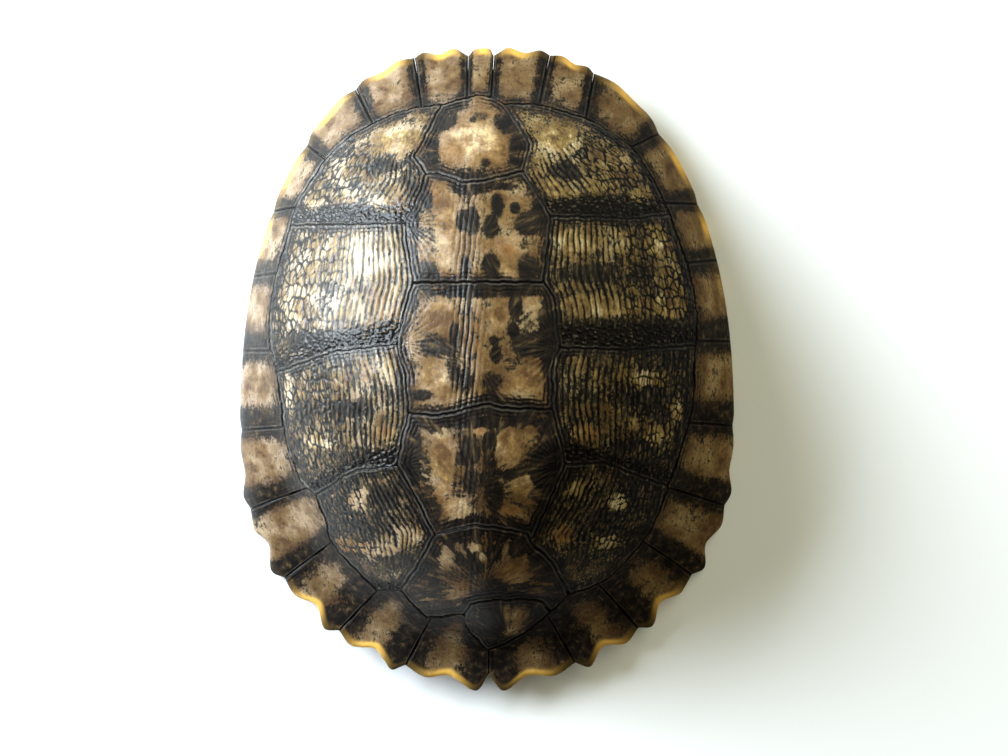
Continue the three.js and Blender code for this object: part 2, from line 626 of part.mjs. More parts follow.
function solidOf(geometry) {
  const bare = geometry.clone();
  bare.deleteAttribute("normal");
  const merged = mergeVertices(bare, MERGE_DISTANCE);
  return new wasm.Manifold(
    new wasm.Mesh({
      numProp: 3,
      vertProperties: merged.attributes.position.array,
      triVerts: new Uint32Array(merged.index.array),
    }),
  );
}

function boneGeometry() {
  let solid = solidOf(boneShell()).add(solidOf(spine()));
  for (let i = 0; i < RIB_PAIRS; i++) {
    solid = solid.add(solidOf(rib(i, LEFT))).add(solidOf(rib(i, RIGHT)));
  }
  const mesh = solid.getMesh();
  const geometry = new THREE.BufferGeometry();
  geometry.setAttribute("position", new THREE.BufferAttribute(mesh.vertProperties, 3));
  geometry.setIndex(new THREE.BufferAttribute(mesh.triVerts, 1));
  geometry.computeVertexNormals();
  return geometry;
}

const HORN_ROUGHNESS = 0.35;
const BONE_ROUGHNESS = 0.75;

function scuteMaterial(color) {
  return new THREE.MeshStandardMaterial({ color, roughness: HORN_ROUGHNESS, metalness: 0 });
}

function named(name, geometry, material) {
  const mesh = new THREE.Mesh(geometry, material);
  mesh.name = name;
  return mesh;
}

const VERTEBRAL_COLOUR = 0x6b5a3a;
const PLEURAL_COLOUR = 0x4b4034;
const MARGINAL_COLOUR = 0x7a6540;
const BONE_COLOUR = 0xd9cdb0;

const carapace = new THREE.Group();

vertebralOutlines().forEach((outline, i) => {
  const name = `vertebral_${i + 1}`;
  carapace.add(named(name, plateGeometry(outline), scuteMaterial(VERTEBRAL_COLOUR)));
});

for (const side of ["left", "right"]) {
  PLEURAL_OUTLINES[side].forEach((outline, i) => {
    const name = `pleural_${side}_${i + 1}`;
    carapace.add(named(name, plateGeometry(outline), scuteMaterial(PLEURAL_COLOUR)));
  });
  const { rim, inner } = MARGINAL_SEAMS[side];
  const sign = side === "left" ? LEFT : RIGHT;
  for (let i = 0; i + 1 < rim.length; i++) {
    const geometry = rimScuteGeometry(
      [sign * inner[i], sign * inner[i + 1]],
      [sign * rim[i], sign * rim[i + 1]],
      [...TEETH[i], TEETH[i + 1][0]],
    );
    const name = `marginal_${side}_${i + 1}`;
    carapace.add(named(name, geometry, scuteMaterial(MARGINAL_COLOUR)));
  }
}

const cervical = rimScuteGeometry(
  [-MARGINAL_SEAMS.left.inner[0], MARGINAL_SEAMS.right.inner[0]],
  [-MARGINAL_SEAMS.left.rim[0], MARGINAL_SEAMS.right.rim[0]],
  CERVICAL_TEETH,
);
carapace.add(named("cervical", cervical, scuteMaterial(MARGINAL_COLOUR)));

const boneMaterial = new THREE.MeshStandardMaterial({
  color: BONE_COLOUR,
  roughness: BONE_ROUGHNESS,
});
carapace.add(named("bony_carapace", boneGeometry(), boneMaterial));

export default carapace;
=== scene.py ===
import bmesh
import bpy
import numpy as np
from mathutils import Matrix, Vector
from mathutils.geometry import delaunay_2d_cdt


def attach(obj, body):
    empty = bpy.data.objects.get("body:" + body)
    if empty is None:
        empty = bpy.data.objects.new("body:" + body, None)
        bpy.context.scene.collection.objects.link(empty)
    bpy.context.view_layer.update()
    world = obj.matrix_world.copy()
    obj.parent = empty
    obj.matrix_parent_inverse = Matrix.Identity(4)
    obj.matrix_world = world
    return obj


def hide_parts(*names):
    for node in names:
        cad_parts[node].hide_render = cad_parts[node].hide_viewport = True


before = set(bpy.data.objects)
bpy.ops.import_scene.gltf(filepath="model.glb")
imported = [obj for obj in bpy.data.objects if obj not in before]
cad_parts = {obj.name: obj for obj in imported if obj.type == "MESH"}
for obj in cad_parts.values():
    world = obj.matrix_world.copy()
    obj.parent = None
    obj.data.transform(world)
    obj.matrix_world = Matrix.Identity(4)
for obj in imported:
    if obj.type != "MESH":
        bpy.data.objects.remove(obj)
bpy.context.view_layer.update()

# ---- Vertebral scutes ---------------------------------------------------------------------
# Six thin plates of horn down the middle of the back, the last a small extra one at the tail.
# Each grew on the bone in rings, tan in its middle with near-black blotches along the seams,
# and a row of cord-like ridges runs beside the keel.
MM = 0.001
HALF_WIDTH = 77.5 * MM
FRONT_REACH = 118.2 * MM
REAR_REACH = 80 * MM
CENTRE_Y = -20 * MM
DOME_HEIGHT = 61 * MM
KEEL_HEIGHT = 2.2 * MM
KEEL_WIDTH = 13 * MM
RIM_THICKNESS = 2.2 * MM
FRONT_LIFT = 12 * MM
REAR_LIFT = 7 * MM
FRONT_ROUNDING = 2.36
REAR_ROUNDING = 2.1

# How the dome changes from the head to the tail: angles in degrees from the head, each change
# starting at a FROM and taking a SPAN.
FRONT_LIFT_SPAN = 50
REAR_LIFT_FROM = 108
FRONT_SPAN = 60
REAR_FROM = 90
REAR_SPAN = 60
REAR_SLOPE_SPAN = 50

# The marginal band: its start as a share of the radius, its rise and its slope at the rim.
BAND_START = 0.87
BAND_WIDENING = 0.12
BAND_WIDENING_FROM = 55
BAND_WIDENING_SPAN = 52
BAND_RISE = 9 * MM
BAND_RISE_SIDE = 11 * MM
BAND_DROP_REAR = 10 * MM
ARCH_POWER = 2.65
ARCH_POWER_DROP = 0.5
RIM_SLOPE = 0.5
RIM_SLOPE_SIDE = 1.4
RIM_SLOPE_REAR_DROP = 1.55

# The keel's line, its rounding and its fading out.
KEEL_X = -1.8 * MM
KEEL_RETURN = 2.4 * MM
KEEL_RETURN_LENGTH = 75 * MM
KEEL_ROUNDING = 1.5 * MM**2
KEEL_FADE_FROM = 0.6
KEEL_FADE_SPAN = 0.35


def smooth(t):
    t = np.clip(t, 0.0, 1.0)
    return t * t * (3 - 2 * t)


def outline_radius(angle):
    """Radius of the rim's smooth outline at an angle from the head, in degrees."""
    across = np.abs(np.sin(np.radians(angle)))
    along = np.cos(np.radians(angle))
    reach = np.where(along > 0, FRONT_REACH, REAR_REACH)
    power = np.where(along > 0, FRONT_ROUNDING, REAR_ROUNDING)
    return ((across / HALF_WIDTH) ** power + (np.abs(along) / reach) ** power) ** (-1 / power)


def rim_lift(angle):
    """How far the rim stands off the ground: front and rear are lifted, the sides rest."""
    front = FRONT_LIFT * (1 - smooth(angle / FRONT_LIFT_SPAN))
    return front + REAR_LIFT * smooth((angle - REAR_LIFT_FROM) / REAR_SPAN)


def head_angle(x, y):
    return np.degrees(np.arctan2(np.abs(x), y - CENTRE_Y))


def keel_x(y):
    """The keel wanders a little to the left and comes back at the tail."""
    return KEEL_X + KEEL_RETURN * smooth((CENTRE_Y - y) / KEEL_RETURN_LENGTH)


def dome_height(x, y, keel=KEEL_HEIGHT):
    """Height of the shell's outer face: an arch down to the rim band, then the band itself."""
    angle = head_angle(x, y)
    radius = outline_radius(angle)
    rim = rim_lift(angle) + RIM_THICKNESS
    side = smooth(angle / FRONT_SPAN)
    rear = smooth((angle - REAR_FROM) / REAR_SPAN)
    rear_slope = smooth((angle - REAR_FROM) / REAR_SLOPE_SPAN)
    widening = smooth((angle - BAND_WIDENING_FROM) / BAND_WIDENING_SPAN)
    start = BAND_START - BAND_WIDENING * widening
    band = rim + BAND_RISE + BAND_RISE_SIDE * side - BAND_DROP_REAR * rear
    power = ARCH_POWER - ARCH_POWER_DROP * rear
    rim_slope = RIM_SLOPE + RIM_SLOPE_SIDE * side - RIM_SLOPE_REAR_DROP * rear_slope
    reach = np.hypot(x, y - CENTRE_Y) / radius
    drop = DOME_HEIGHT - band
    arch = DOME_HEIGHT - drop * (np.minimum(reach, start) / start) ** power
    width = (1 - start) * radius
    t = np.maximum((reach - start) / (1 - start), 0)
    s = np.minimum(t, 1)
    start_slope = -power * drop * width / (start * radius)
    skirt = band * (2 * s**3 - 3 * s**2 + 1) + start_slope * (s**3 - 2 * s**2 + s)
    skirt += rim * (3 * s**2 - 2 * s**3) - rim_slope * width * (s**3 - s**2 + np.maximum(t - 1, 0))
    beside = np.sqrt((x - keel_x(y)) ** 2 + KEEL_ROUNDING)
    fade = 1 - smooth((reach - KEEL_FADE_FROM) / KEEL_FADE_SPAN)
    return np.where(reach <= start, arch, skirt) + keel * np.exp(-beside / KEEL_WIDTH) * fade


def sink(plan, depth, keel=KEEL_HEIGHT):
    """Points that lie `depth` below the dome's face, square to it."""
    x, y = plan[:, 0], plan[:, 1]
    step = 0.5 * MM
    slope_x = (dome_height(x + step, y, keel) - dome_height(x - step, y, keel)) / (2 * step)
    slope_y = (dome_height(x, y + step, keel) - dome_height(x, y - step, keel)) / (2 * step)
    normal = np.stack([-slope_x, -slope_y, np.ones_like(x)], axis=1)
    normal /= np.linalg.norm(normal, axis=1)[:, None]
    return np.column_stack([x, y, dome_height(x, y, keel)]) - normal * np.reshape(depth, (-1, 1))


def open_loop(faces):
    """The boundary of a patch of faces as an ordered loop, in the faces' own direction."""
    sides = {(face[i - 1], face[i]) for face in faces for i in range(len(face))}
    following = {a: b for a, b in sides if (b, a) not in sides}
    loop = [min(following)]
    while following[loop[-1]] != loop[0] and len(loop) < len(following):
        loop.append(following[loop[-1]])
    return loop


def top_outline(name):
    """Edge of a scute's upper face in plan, anticlockwise, and which points are on the rim."""
    merge = 0.002 * MM
    near = 0.02 * MM
    solid = bmesh.new()
    solid.from_mesh(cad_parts[name].data)
    bmesh.ops.remove_doubles(solid, verts=solid.verts, dist=merge)
    solid.verts.index_update()
    spots = np.array([vertex.co for vertex in solid.verts])
    faces = [[vertex.index for vertex in face.verts] for face in solid.faces]
    solid.free()
    on_dome = np.abs(dome_height(spots[:, 0], spots[:, 1]) - spots[:, 2]) < near
    loop = open_loop([face for face in faces if on_dome[face].all()])
    below = spots[~on_dome]
    on_rim = np.array([
        np.any((np.abs(below[:, :2] - spots[i, :2]).max(axis=1) < near)
               & (below[:, 2] < spots[i, 2] - MM))
        for i in loop
    ])
    on_rim |= np.roll(on_rim, 1) & np.roll(on_rim, -1)
    return spots[loop, :2], on_rim


def flowing(stretch, places):
    """A smooth curve through the points of a stretch, read at places from 0 to 1 along it."""
    gaps = np.hypot(*np.diff(stretch, axis=0).T)
    along = np.concatenate([[0], np.cumsum(gaps)])
    slopes = np.gradient(stretch, along, axis=0)
    wanted = np.asarray(places) * along[-1]
    i = np.clip(np.searchsorted(along, wanted, side="right") - 1, 0, len(gaps) - 1)
    t = ((wanted - along[i]) / gaps[i])[:, None]
    span = gaps[i][:, None]
    ends = stretch[i] * (2 * t**3 - 3 * t**2 + 1) + stretch[i + 1] * (3 * t**2 - 2 * t**3)
    return ends + span * (slopes[i] * (t**3 - 2 * t**2 + t) + slopes[i + 1] * (t**3 - t**2))


SEAM_WAVER = 0.11 * MM


def wander(plan):
    """Small wavering of a grown seam, the same for the scutes on both sides of it."""
    x, y = plan[:, 0] / MM, plan[:, 1] / MM
    sway_x = np.sin(0.9 * y + 0.4 * x) + 0.6 * np.sin(2.3 * y - 1.1 * x + 2)
    sway_y = np.sin(1.1 * x - 0.5 * y + 1) + 0.6 * np.sin(2.7 * x + 0.8 * y)
    return plan + SEAM_WAVER * np.column_stack([sway_x, sway_y])


SEAM_NARROWING = 0.08 * MM
SHARPEST_BEND = 40
SHORTEST_SIDE = 0.7 * MM


def rounded_outline(loop, step):
    """The outline with its stretches curved and its corners kept, in even steps."""
    loop = loop[np.hypot(*(loop - np.roll(loop, 1, axis=0)).T) > SHORTEST_SIDE]
    before = loop - np.roll(loop, 1, axis=0)
    after = np.roll(loop, -1, axis=0) - loop
    turn = np.degrees(np.arctan2(before[:, 0] * after[:, 1] - before[:, 1] * after[:, 0],
                                 (before * after).sum(axis=1)))
    corners = np.flatnonzero(np.abs(turn) > SHARPEST_BEND)
    runs = []
    for a, b in zip(corners, np.roll(corners, -1)):
        count = (b - a) % len(loop) + 1
        stretch = loop[(a + np.arange(count)) % len(loop)]
        length = np.hypot(*np.diff(stretch, axis=0).T).sum()
        steps = max(2, round(length / step))
        runs.append(flowing(stretch, np.arange(steps) / steps))
    curved = np.vstack(runs)
    return wander(curved + outward(curved) * SEAM_NARROWING)


def outward(loop):
    """Unit normals of an anticlockwise loop, pointing out of it."""
    along = np.roll(loop, -1, axis=0) - np.roll(loop, 1, axis=0)
    normal = np.column_stack([along[:, 1], -along[:, 0]])
    return normal / np.linalg.norm(normal, axis=1)[:, None]


def distance_to(points, line, closed=False):
    """Distance in plan from each point to a line of points."""
    start = line if closed else line[:-1]
    step = (np.roll(line, -1, axis=0) - line)[: len(start)] + 1e-9
    best = np.full(len(points), np.inf)
    for a, d in zip(start, step):
        offset = points - a
        t = np.clip(offset @ d / (d @ d), 0, 1)
        np.minimum(best, ((offset - t[:, None] * d) ** 2).sum(axis=1), out=best)
    return np.sqrt(best)


TRIANGLE_HEIGHT = 0.866


def filled(loop, spacing, insets=()):
    """Points and triangles that fill a loop evenly, with close rows just inside its edge."""
    low, high = loop.min(axis=0), loop.max(axis=0)
    rows = []
    for j, y in enumerate(np.arange(low[1], high[1], spacing * TRIANGLE_HEIGHT)):
        across = np.arange(low[0] + (j % 2) * spacing / 2, high[0], spacing)
        rows.append(np.column_stack([across, np.full(len(across), y)]))
    inner = np.vstack(rows)
    clear = (insets[-1] if insets else 0) + 0.6 * spacing
    inner = inner[distance_to(inner, loop, closed=True) > clear]
    normal = outward(loop)
    lines = [loop]
    for inset in insets:
        line = loop - normal * inset
        lines.append(line[distance_to(line, loop, closed=True) > 0.9 * inset])
    points = np.vstack([*lines, inner])
    spots, _, faces, *_ = delaunay_2d_cdt(
        [Vector(p) for p in points.tolist()], [], [list(range(len(loop)))], 1, 0.001 * MM)
    return np.array(spots), faces


MARK_CORE = 0.45
MARK_FADE = 0.95


def marks_at(plan, marks):
    """Sum of soft-edged ellipses (x, y, half width, half length, strength), in millimetres."""
    total = np.zeros(len(plan))
    for x, y, across, along, strength in marks:
        size = np.hypot((plan[:, 0] / MM - x) / across, (plan[:, 1] / MM - y) / along)
        total += strength * (1 - smooth((size - MARK_CORE) / MARK_FADE))
    return total


# The painted sheen: strongest on the left flank, which faces the light, less past the keel and
# towards the right and the tail.
SHEEN_ON_KEEL = 0.52
SHEEN_LOST_PAST_KEEL = 0.1
SHEEN_LOST_TO_RIGHT = 0.3
SHEEN_LOST_TO_TAIL = 0.4
SHEEN_GAINED_TO_HEAD = 0.08
LEAST_SHEEN = 0.15
KEEL_ROUND_OVER = 3 * MM


def painted_sheen(plan):
    """Painted sheen: most on the left flank facing the light, dull towards tail and right."""
    x, y = plan[:, 0], plan[:, 1]
    past_keel = np.tanh((x - keel_x(y)) / KEEL_ROUND_OVER)
    across = SHEEN_ON_KEEL - SHEEN_LOST_PAST_KEEL * past_keel
    across -= SHEEN_LOST_TO_RIGHT * x / HALF_WIDTH
    along = SHEEN_LOST_TO_TAIL * np.minimum(y, 0) + SHEEN_GAINED_TO_HEAD * np.maximum(y, 0)
    return np.clip(across + along / FRONT_REACH, LEAST_SHEEN, 1) ** 2


SCUTE_THICKNESS = 1.2 * MM
GRAIN = 0.37 * MM
UNDER_GRAIN = 3.5 * MM
LIP_INSETS = (0.1 * MM, 0.24 * MM, 0.44 * MM)
LIP_DROP = 0.22 * MM
LIP_WIDTH = 0.42 * MM
SEAM_CLOSING = 0.12 * MM


def lip(edge):
    """How far the horn's surface rolls down towards its seam."""
    return LIP_DROP * (1 - smooth(edge / LIP_WIDTH)) ** 1.5


def plate(name):
    """A scute on the dome inside its outline: fine on top, closed with a wall and an underside."""
    corners, _ = top_outline(name)
    loop = rounded_outline(corners, GRAIN)
    plan, faces = filled(loop, GRAIN, LIP_INSETS)
    edge = distance_to(plan, loop, closed=True)
    top = sink(plan, lip(edge))
    ring = open_loop(faces)
    foot = plan[ring] + outward(plan[ring]) * SEAM_CLOSING
    under_plan, under_faces = filled(foot, UNDER_GRAIN)
    wall = sink(foot, 0.7 * SCUTE_THICKNESS)
    under = sink(under_plan, SCUTE_THICKNESS)
    faces = [tuple(face) for face in faces]
    first_wall = len(top)
    first_under = first_wall + len(wall)
    count = len(ring)
    for i in range(count):
        j = (i + 1) % count
        a, b = ring[i], ring[j]
        c, d = first_wall + j, first_wall + i
        faces.extend([(a, d, c), (a, c, b)])
        faces.extend([(d, first_under + i, first_under + j), (d, first_under + j, c)])
    faces.extend(tuple(first_under + k for k in reversed(face)) for face in under_faces)
    points = np.vstack([top, wall, under])
    return points, faces, plan, edge, corners


def horn_object(name, points, faces, fields):
    """A bare mesh with its named fields, which are zero at the points they don't reach."""
    mesh = bpy.data.meshes.new(name)
    mesh.from_pydata(points.tolist(), [], faces)
    mesh.shade_smooth()
    for field, values in fields.items():
        layer = mesh.attributes.new(field, "FLOAT", "POINT")
        full = np.zeros(len(points), dtype=np.float32)
        full[: len(values)] = values
        layer.data.foreach_set("value", full)
    made = bpy.data.objects.new(name, mesh)
    bpy.context.scene.collection.objects.link(made)
    return made


def node(tree, kind, **settings):
    made = tree.nodes.new(kind)
    for setting, value in settings.items():
        setattr(made, setting, value)
    return made


def feed(tree, socket, value):
    if isinstance(value, bpy.types.NodeSocket):
        tree.links.new(value, socket)
    else:
        socket.default_value = value


def calc(tree, operation, *values):
    made = node(tree, "ShaderNodeMath", operation=operation)
    for socket, value in zip(made.inputs, values):
        feed(tree, socket, value)
    return made.outputs[0]


def spread(tree, value, low, high, to_low=0.0, to_high=1.0):
    """value from low..high to to_low..to_high, with a soft start and end."""
    made = node(tree, "ShaderNodeMapRange", interpolation_type="SMOOTHSTEP")
    for socket, number in zip(made.inputs, (value, low, high, to_low, to_high)):
        feed(tree, socket, number)
    return made.outputs[0]


def stretched(tree, position, scale, shift=0.0):
    """Position scaled along each axis, so that a noise on it is drawn out."""
    scaled = node(tree, "ShaderNodeVectorMath", operation="MULTIPLY")
    feed(tree, scaled.inputs[0], position)
    feed(tree, scaled.inputs[1], scale)
    moved = node(tree, "ShaderNodeVectorMath", operation="ADD")
    feed(tree, moved.inputs[0], scaled.outputs[0])
    feed(tree, moved.inputs[1], shift if isinstance(shift, bpy.types.NodeSocket) else (shift,) * 3)
    return moved.outputs[0]


def noise(tree, position, scale=1.0, detail=2.0, roughness=0.5):
    made = node(tree, "ShaderNodeTexNoise")
    feed(tree, made.inputs["Vector"], position)
    feed(tree, made.inputs["Scale"], scale)
    feed(tree, made.inputs["Detail"], detail)
    feed(tree, made.inputs["Roughness"], roughness)
    return made.outputs[0]


CREST_BREADTH = 0.42
SEAM_SWAY = 1.1 * MM
PIT_DEPTH = 0.18 * MM


def grown_field(tree, label):
    made = node(tree, "GeometryNodeInputNamedAttribute", data_type="FLOAT")
    made.inputs[0].default_value = label
    return made.outputs[0]


def wave(tree, distance, pitch):
    """1 on broad crests a pitch apart, 0 in the narrow grooves between them."""
    turn = calc(tree, "MULTIPLY", calc(tree, "DIVIDE", distance, pitch), 2 * np.pi)
    crest = calc(tree, "MULTIPLY_ADD", calc(tree, "COSINE", turn), 0.5, 0.5)
    return calc(tree, "POWER", crest, CREST_BREADTH)


def cut_below(tree, level, share):
    """How deep the horn is cut where a pattern of 0 to 1 is below its crests."""
    return calc(tree, "MULTIPLY", calc(tree, "SUBTRACT", 1.0, level), share)


def ridge_cut(tree, given, position, shift, sway):
    """Cords that run along the `flow` field, broken into beads where the scute is beaded."""
    bent = calc(tree, "MULTIPLY_ADD", sway, given["Ridge Wander"], grown_field(tree, "flow"))
    cord = wave(tree, bent, given["Ridge Pitch"])
    laid = node(tree, "ShaderNodeCombineXYZ")
    feed(tree, laid.inputs[0], calc(tree, "DIVIDE", bent, given["Ridge Pitch"]))
    bead_pitch = calc(tree, "MULTIPLY", given["Ridge Pitch"], given["Bead Length"])
    feed(tree, laid.inputs[1], calc(tree, "DIVIDE", grown_field(tree, "along"), bead_pitch))
    cells = node(tree, "ShaderNodeTexVoronoi", feature="DISTANCE_TO_EDGE",
                 voronoi_dimensions="2D")
    feed(tree, cells.inputs["Vector"], laid.outputs[0])
    feed(tree, cells.inputs["Scale"], 1.0)
    feed(tree, cells.inputs["Randomness"], 0.85)
    bead = calc(tree, "MINIMUM", spread(tree, cells.outputs["Distance"], 0.0, 0.22),
                calc(tree, "MULTIPLY_ADD", cord, 0.75, 0.25))
    beaded = grown_field(tree, "beaded")
    ridge = calc(tree, "ADD", calc(tree, "MULTIPLY", bead, beaded),
                 calc(tree, "MULTIPLY", cord, calc(tree, "SUBTRACT", 1.0, beaded)))
    broken = noise(tree, stretched(tree, position, (620, 130, 300), shift))
    strength = spread(tree, broken, 0.3, 0.58, 0.4, 1.0)
    return cut_below(tree, ridge, calc(tree, "MULTIPLY", grown_field(tree, "ridged"), strength))


def seam_cut(tree, given, position, shift, sway):
    """The last growth rings, a few ridges that follow the seam and fade out in patches."""
    edge = grown_field(tree, "edge")
    half_pitch = calc(tree, "MULTIPLY", given["Seam Pitch"], 0.5)
    bent = calc(tree, "MULTIPLY_ADD", sway, SEAM_SWAY, calc(tree, "ADD", edge, half_pitch))
    patches = noise(tree, stretched(tree, position, (110, 110, 110), shift))
    patchy = spread(tree, patches, 0.4, 0.62)
    near = spread(tree, calc(tree, "DIVIDE", edge, given["Seam Reach"]), 0.35, 1.0, 1.0, 0.0)
    share = calc(tree, "MULTIPLY", near, calc(tree, "MULTIPLY_ADD", patchy, 0.65, 0.35))
    return cut_below(tree, wave(tree, bent, given["Seam Pitch"]), share)


def cobble_cut(tree, given, position, shift):
    """Small uneven cobbles where the horn is wrinkled."""
    wiggle = node(tree, "ShaderNodeTexNoise")
    feed(tree, wiggle.inputs["Vector"], stretched(tree, position, (420, 420, 420), shift))
    nudge = node(tree, "ShaderNodeVectorMath", operation="SCALE")
    feed(tree, nudge.inputs[0], wiggle.outputs["Color"])
    feed(tree, nudge.inputs["Scale"], given["Wrinkle Size"])
    bumpy = node(tree, "ShaderNodeVectorMath", operation="ADD")
    feed(tree, bumpy.inputs[0], stretched(tree, position, (0.62, 1.2, 0.62)))
    feed(tree, bumpy.inputs[1], nudge.outputs[0])
    cobble = node(tree, "ShaderNodeTexVoronoi", feature="DISTANCE_TO_EDGE")
    feed(tree, cobble.inputs["Vector"], bumpy.outputs[0])
    feed(tree, cobble.inputs["Scale"], calc(tree, "DIVIDE", 1.0, given["Wrinkle Size"]))
    level = spread(tree, cobble.outputs["Distance"], 0.0, 0.28)
    return cut_below(tree, level, grown_field(tree, "wrinkled"))


def growth_tree():
    """Cuts ridges, growth rings and cobbles into a bare scute and keeps them as `groove`."""
    tree = bpy.data.node_groups.new("growth_ridges", "GeometryNodeTree")
    face = tree.interface
    face.new_socket("Geometry", in_out="INPUT", socket_type="NodeSocketGeometry")
    sizes = ("Ridge Pitch", "Ridge Height", "Ridge Wander", "Bead Length", "Seam Pitch",
             "Seam Height", "Seam Reach", "Wrinkle Size", "Wrinkle Height", "Seed")
    for label in sizes:
        face.new_socket(label, in_out="INPUT", socket_type="NodeSocketFloat")
    face.new_socket("Material", in_out="INPUT", socket_type="NodeSocketMaterial")
    face.new_socket("Geometry", in_out="OUTPUT", socket_type="NodeSocketGeometry")
    given = node(tree, "NodeGroupInput").outputs
    position = node(tree, "GeometryNodeInputPosition").outputs[0]
    seeded = node(tree, "ShaderNodeCombineXYZ")
    for socket in seeded.inputs:
        feed(tree, socket, given["Seed"])
    shift = seeded.outputs[0]
    sway = calc(tree, "SUBTRACT", noise(tree, stretched(tree, position, (260, 160, 200), shift),
                                        detail=3.0), 0.5)
    valley = ridge_cut(tree, given, position, shift, sway)
    furrow = seam_cut(tree, given, position, shift, sway)
    fold = cobble_cut(tree, given, position, shift)
    groove = calc(tree, "MAXIMUM", calc(tree, "MAXIMUM", valley, furrow), fold)
    depth = calc(tree, "MULTIPLY", valley, given["Ridge Height"])
    depth = calc(tree, "MULTIPLY_ADD", furrow, given["Seam Height"], depth)
    depth = calc(tree, "MULTIPLY_ADD", fold, given["Wrinkle Height"], depth)
    pitted = noise(tree, stretched(tree, position, (900, 500, 700), shift), detail=3.0)
    pits = calc(tree, "MULTIPLY", calc(tree, "SUBTRACT", pitted, 0.5), PIT_DEPTH)
    height = calc(tree, "MULTIPLY", calc(tree, "SUBTRACT", pits, depth), grown_field(tree, "skin"))
    offset = node(tree, "ShaderNodeVectorMath", operation="SCALE")
    feed(tree, offset.inputs[0], node(tree, "GeometryNodeInputNormal").outputs[0])
    feed(tree, offset.inputs["Scale"], height)
    kept = node(tree, "GeometryNodeStoreNamedAttribute", data_type="FLOAT", domain="POINT")
    feed(tree, kept.inputs["Geometry"], given["Geometry"])
    kept.inputs["Name"].default_value = "groove"
    feed(tree, kept.inputs["Value"], groove)
    raised = node(tree, "GeometryNodeSetPosition")
    feed(tree, raised.inputs["Geometry"], kept.outputs[0])
    feed(tree, raised.inputs["Offset"], offset.outputs[0])
    realized = node(tree, "GeometryNodeRealizeInstances")
    feed(tree, realized.inputs[0], raised.outputs[0])
    painted = node(tree, "GeometryNodeSetMaterial")
    feed(tree, painted.inputs["Geometry"], realized.outputs[0])
    feed(tree, painted.inputs["Material"], given["Material"])
    feed(tree, node(tree, "NodeGroupOutput").inputs[0], painted.outputs[0])
    return tree


growth_ridges = growth_tree()


def grow(bare, **inputs):
    """Runs the growth tree on a bare scute and leaves a plain mesh in its place."""
    growth = bare.modifiers.new("growth", "NODES")
    growth.node_group = growth_ridges
    for socket in growth_ridges.interface.items_tree:
        label = socket.name.replace(" ", "_").lower()
        if socket.in_out == "INPUT" and label in inputs:
            growth[socket.identifier] = inputs[label]
    grown = bpy.data.meshes.new_from_object(
        bare.evaluated_get(bpy.context.evaluated_depsgraph_get()))
    bare.modifiers.clear()
    plain = bare.data
    bare.data = grown
    bpy.data.meshes.remove(plain)
    grown.name = bare.name
    return bare


def tone(red, green, blue):
    """A colour of 0 to 255 values as the linear colour that the shaders take."""
    share = np.array([red, green, blue]) / 255
    linear = np.where(share <= 0.04045, share / 12.92, ((share + 0.055) / 1.055) ** 2.4)
    return (*linear.tolist(), 1.0)


def mixed(tree, share, first, second):
    made = node(tree, "ShaderNodeMix", data_type="RGBA")
    feed(tree, made.inputs["Factor"], share)
    feed(tree, made.inputs[6], first)
    feed(tree, made.inputs[7], second)
    return made.outputs[2]


def ramp(tree, value, *stops):
    made = node(tree, "ShaderNodeValToRGB")
    feed(tree, made.inputs[0], value)
    bar = made.color_ramp.elements
    while len(bar) < len(stops):
        bar.new(0.5)
    for stop, (place, colour) in zip(bar, stops):
        stop.position = place
        stop.color = colour
    return made.outputs[0]


PALE_HAIR = tone(226, 206, 160)
RUDDY_HORN = tone(126, 82, 42)
# Painted sheen: the milky haze of light on the lit flank.
SHEEN_HAZE_TONE = tone(178, 160, 150)
PALE_FLECK = tone(120, 96, 62)
# The amber edge: partly the horn's own colour, partly painted glow of light through it.
AMBER_EDGE_AND_GLOW = tone(242, 188, 88)
# Painted shade in the grooves.
GROOVE_SHADE = tone(9, 8, 8)
# Painted highlight on the ridge crests.
CREST_HIGHLIGHT = tone(122, 117, 102)
# Painted highlight on the lips of the seams.
LIP_HIGHLIGHT = tone(136, 129, 118)
SEAM_DIRT = tone(12, 10, 10)
SPOKE_STREAKS = (9, 9, 110)


def painted_field(tree, label):
    return node(tree, "ShaderNodeAttribute", attribute_name=label).outputs["Fac"]


def growth_streaks(tree, place, streaks):
    """Fine streaks drawn out along the horn or, without a scale, out from its growth centre."""
    if not streaks:
        spoke = node(tree, "ShaderNodeCombineXYZ")
        for socket, label in zip(spoke.inputs, ("spoke_x", "spoke_y", "ring")):
            feed(tree, socket, painted_field(tree, label))
        place, streaks = spoke.outputs[0], SPOKE_STREAKS
    return noise(tree, stretched(tree, place, streaks), detail=5.0, roughness=0.62)


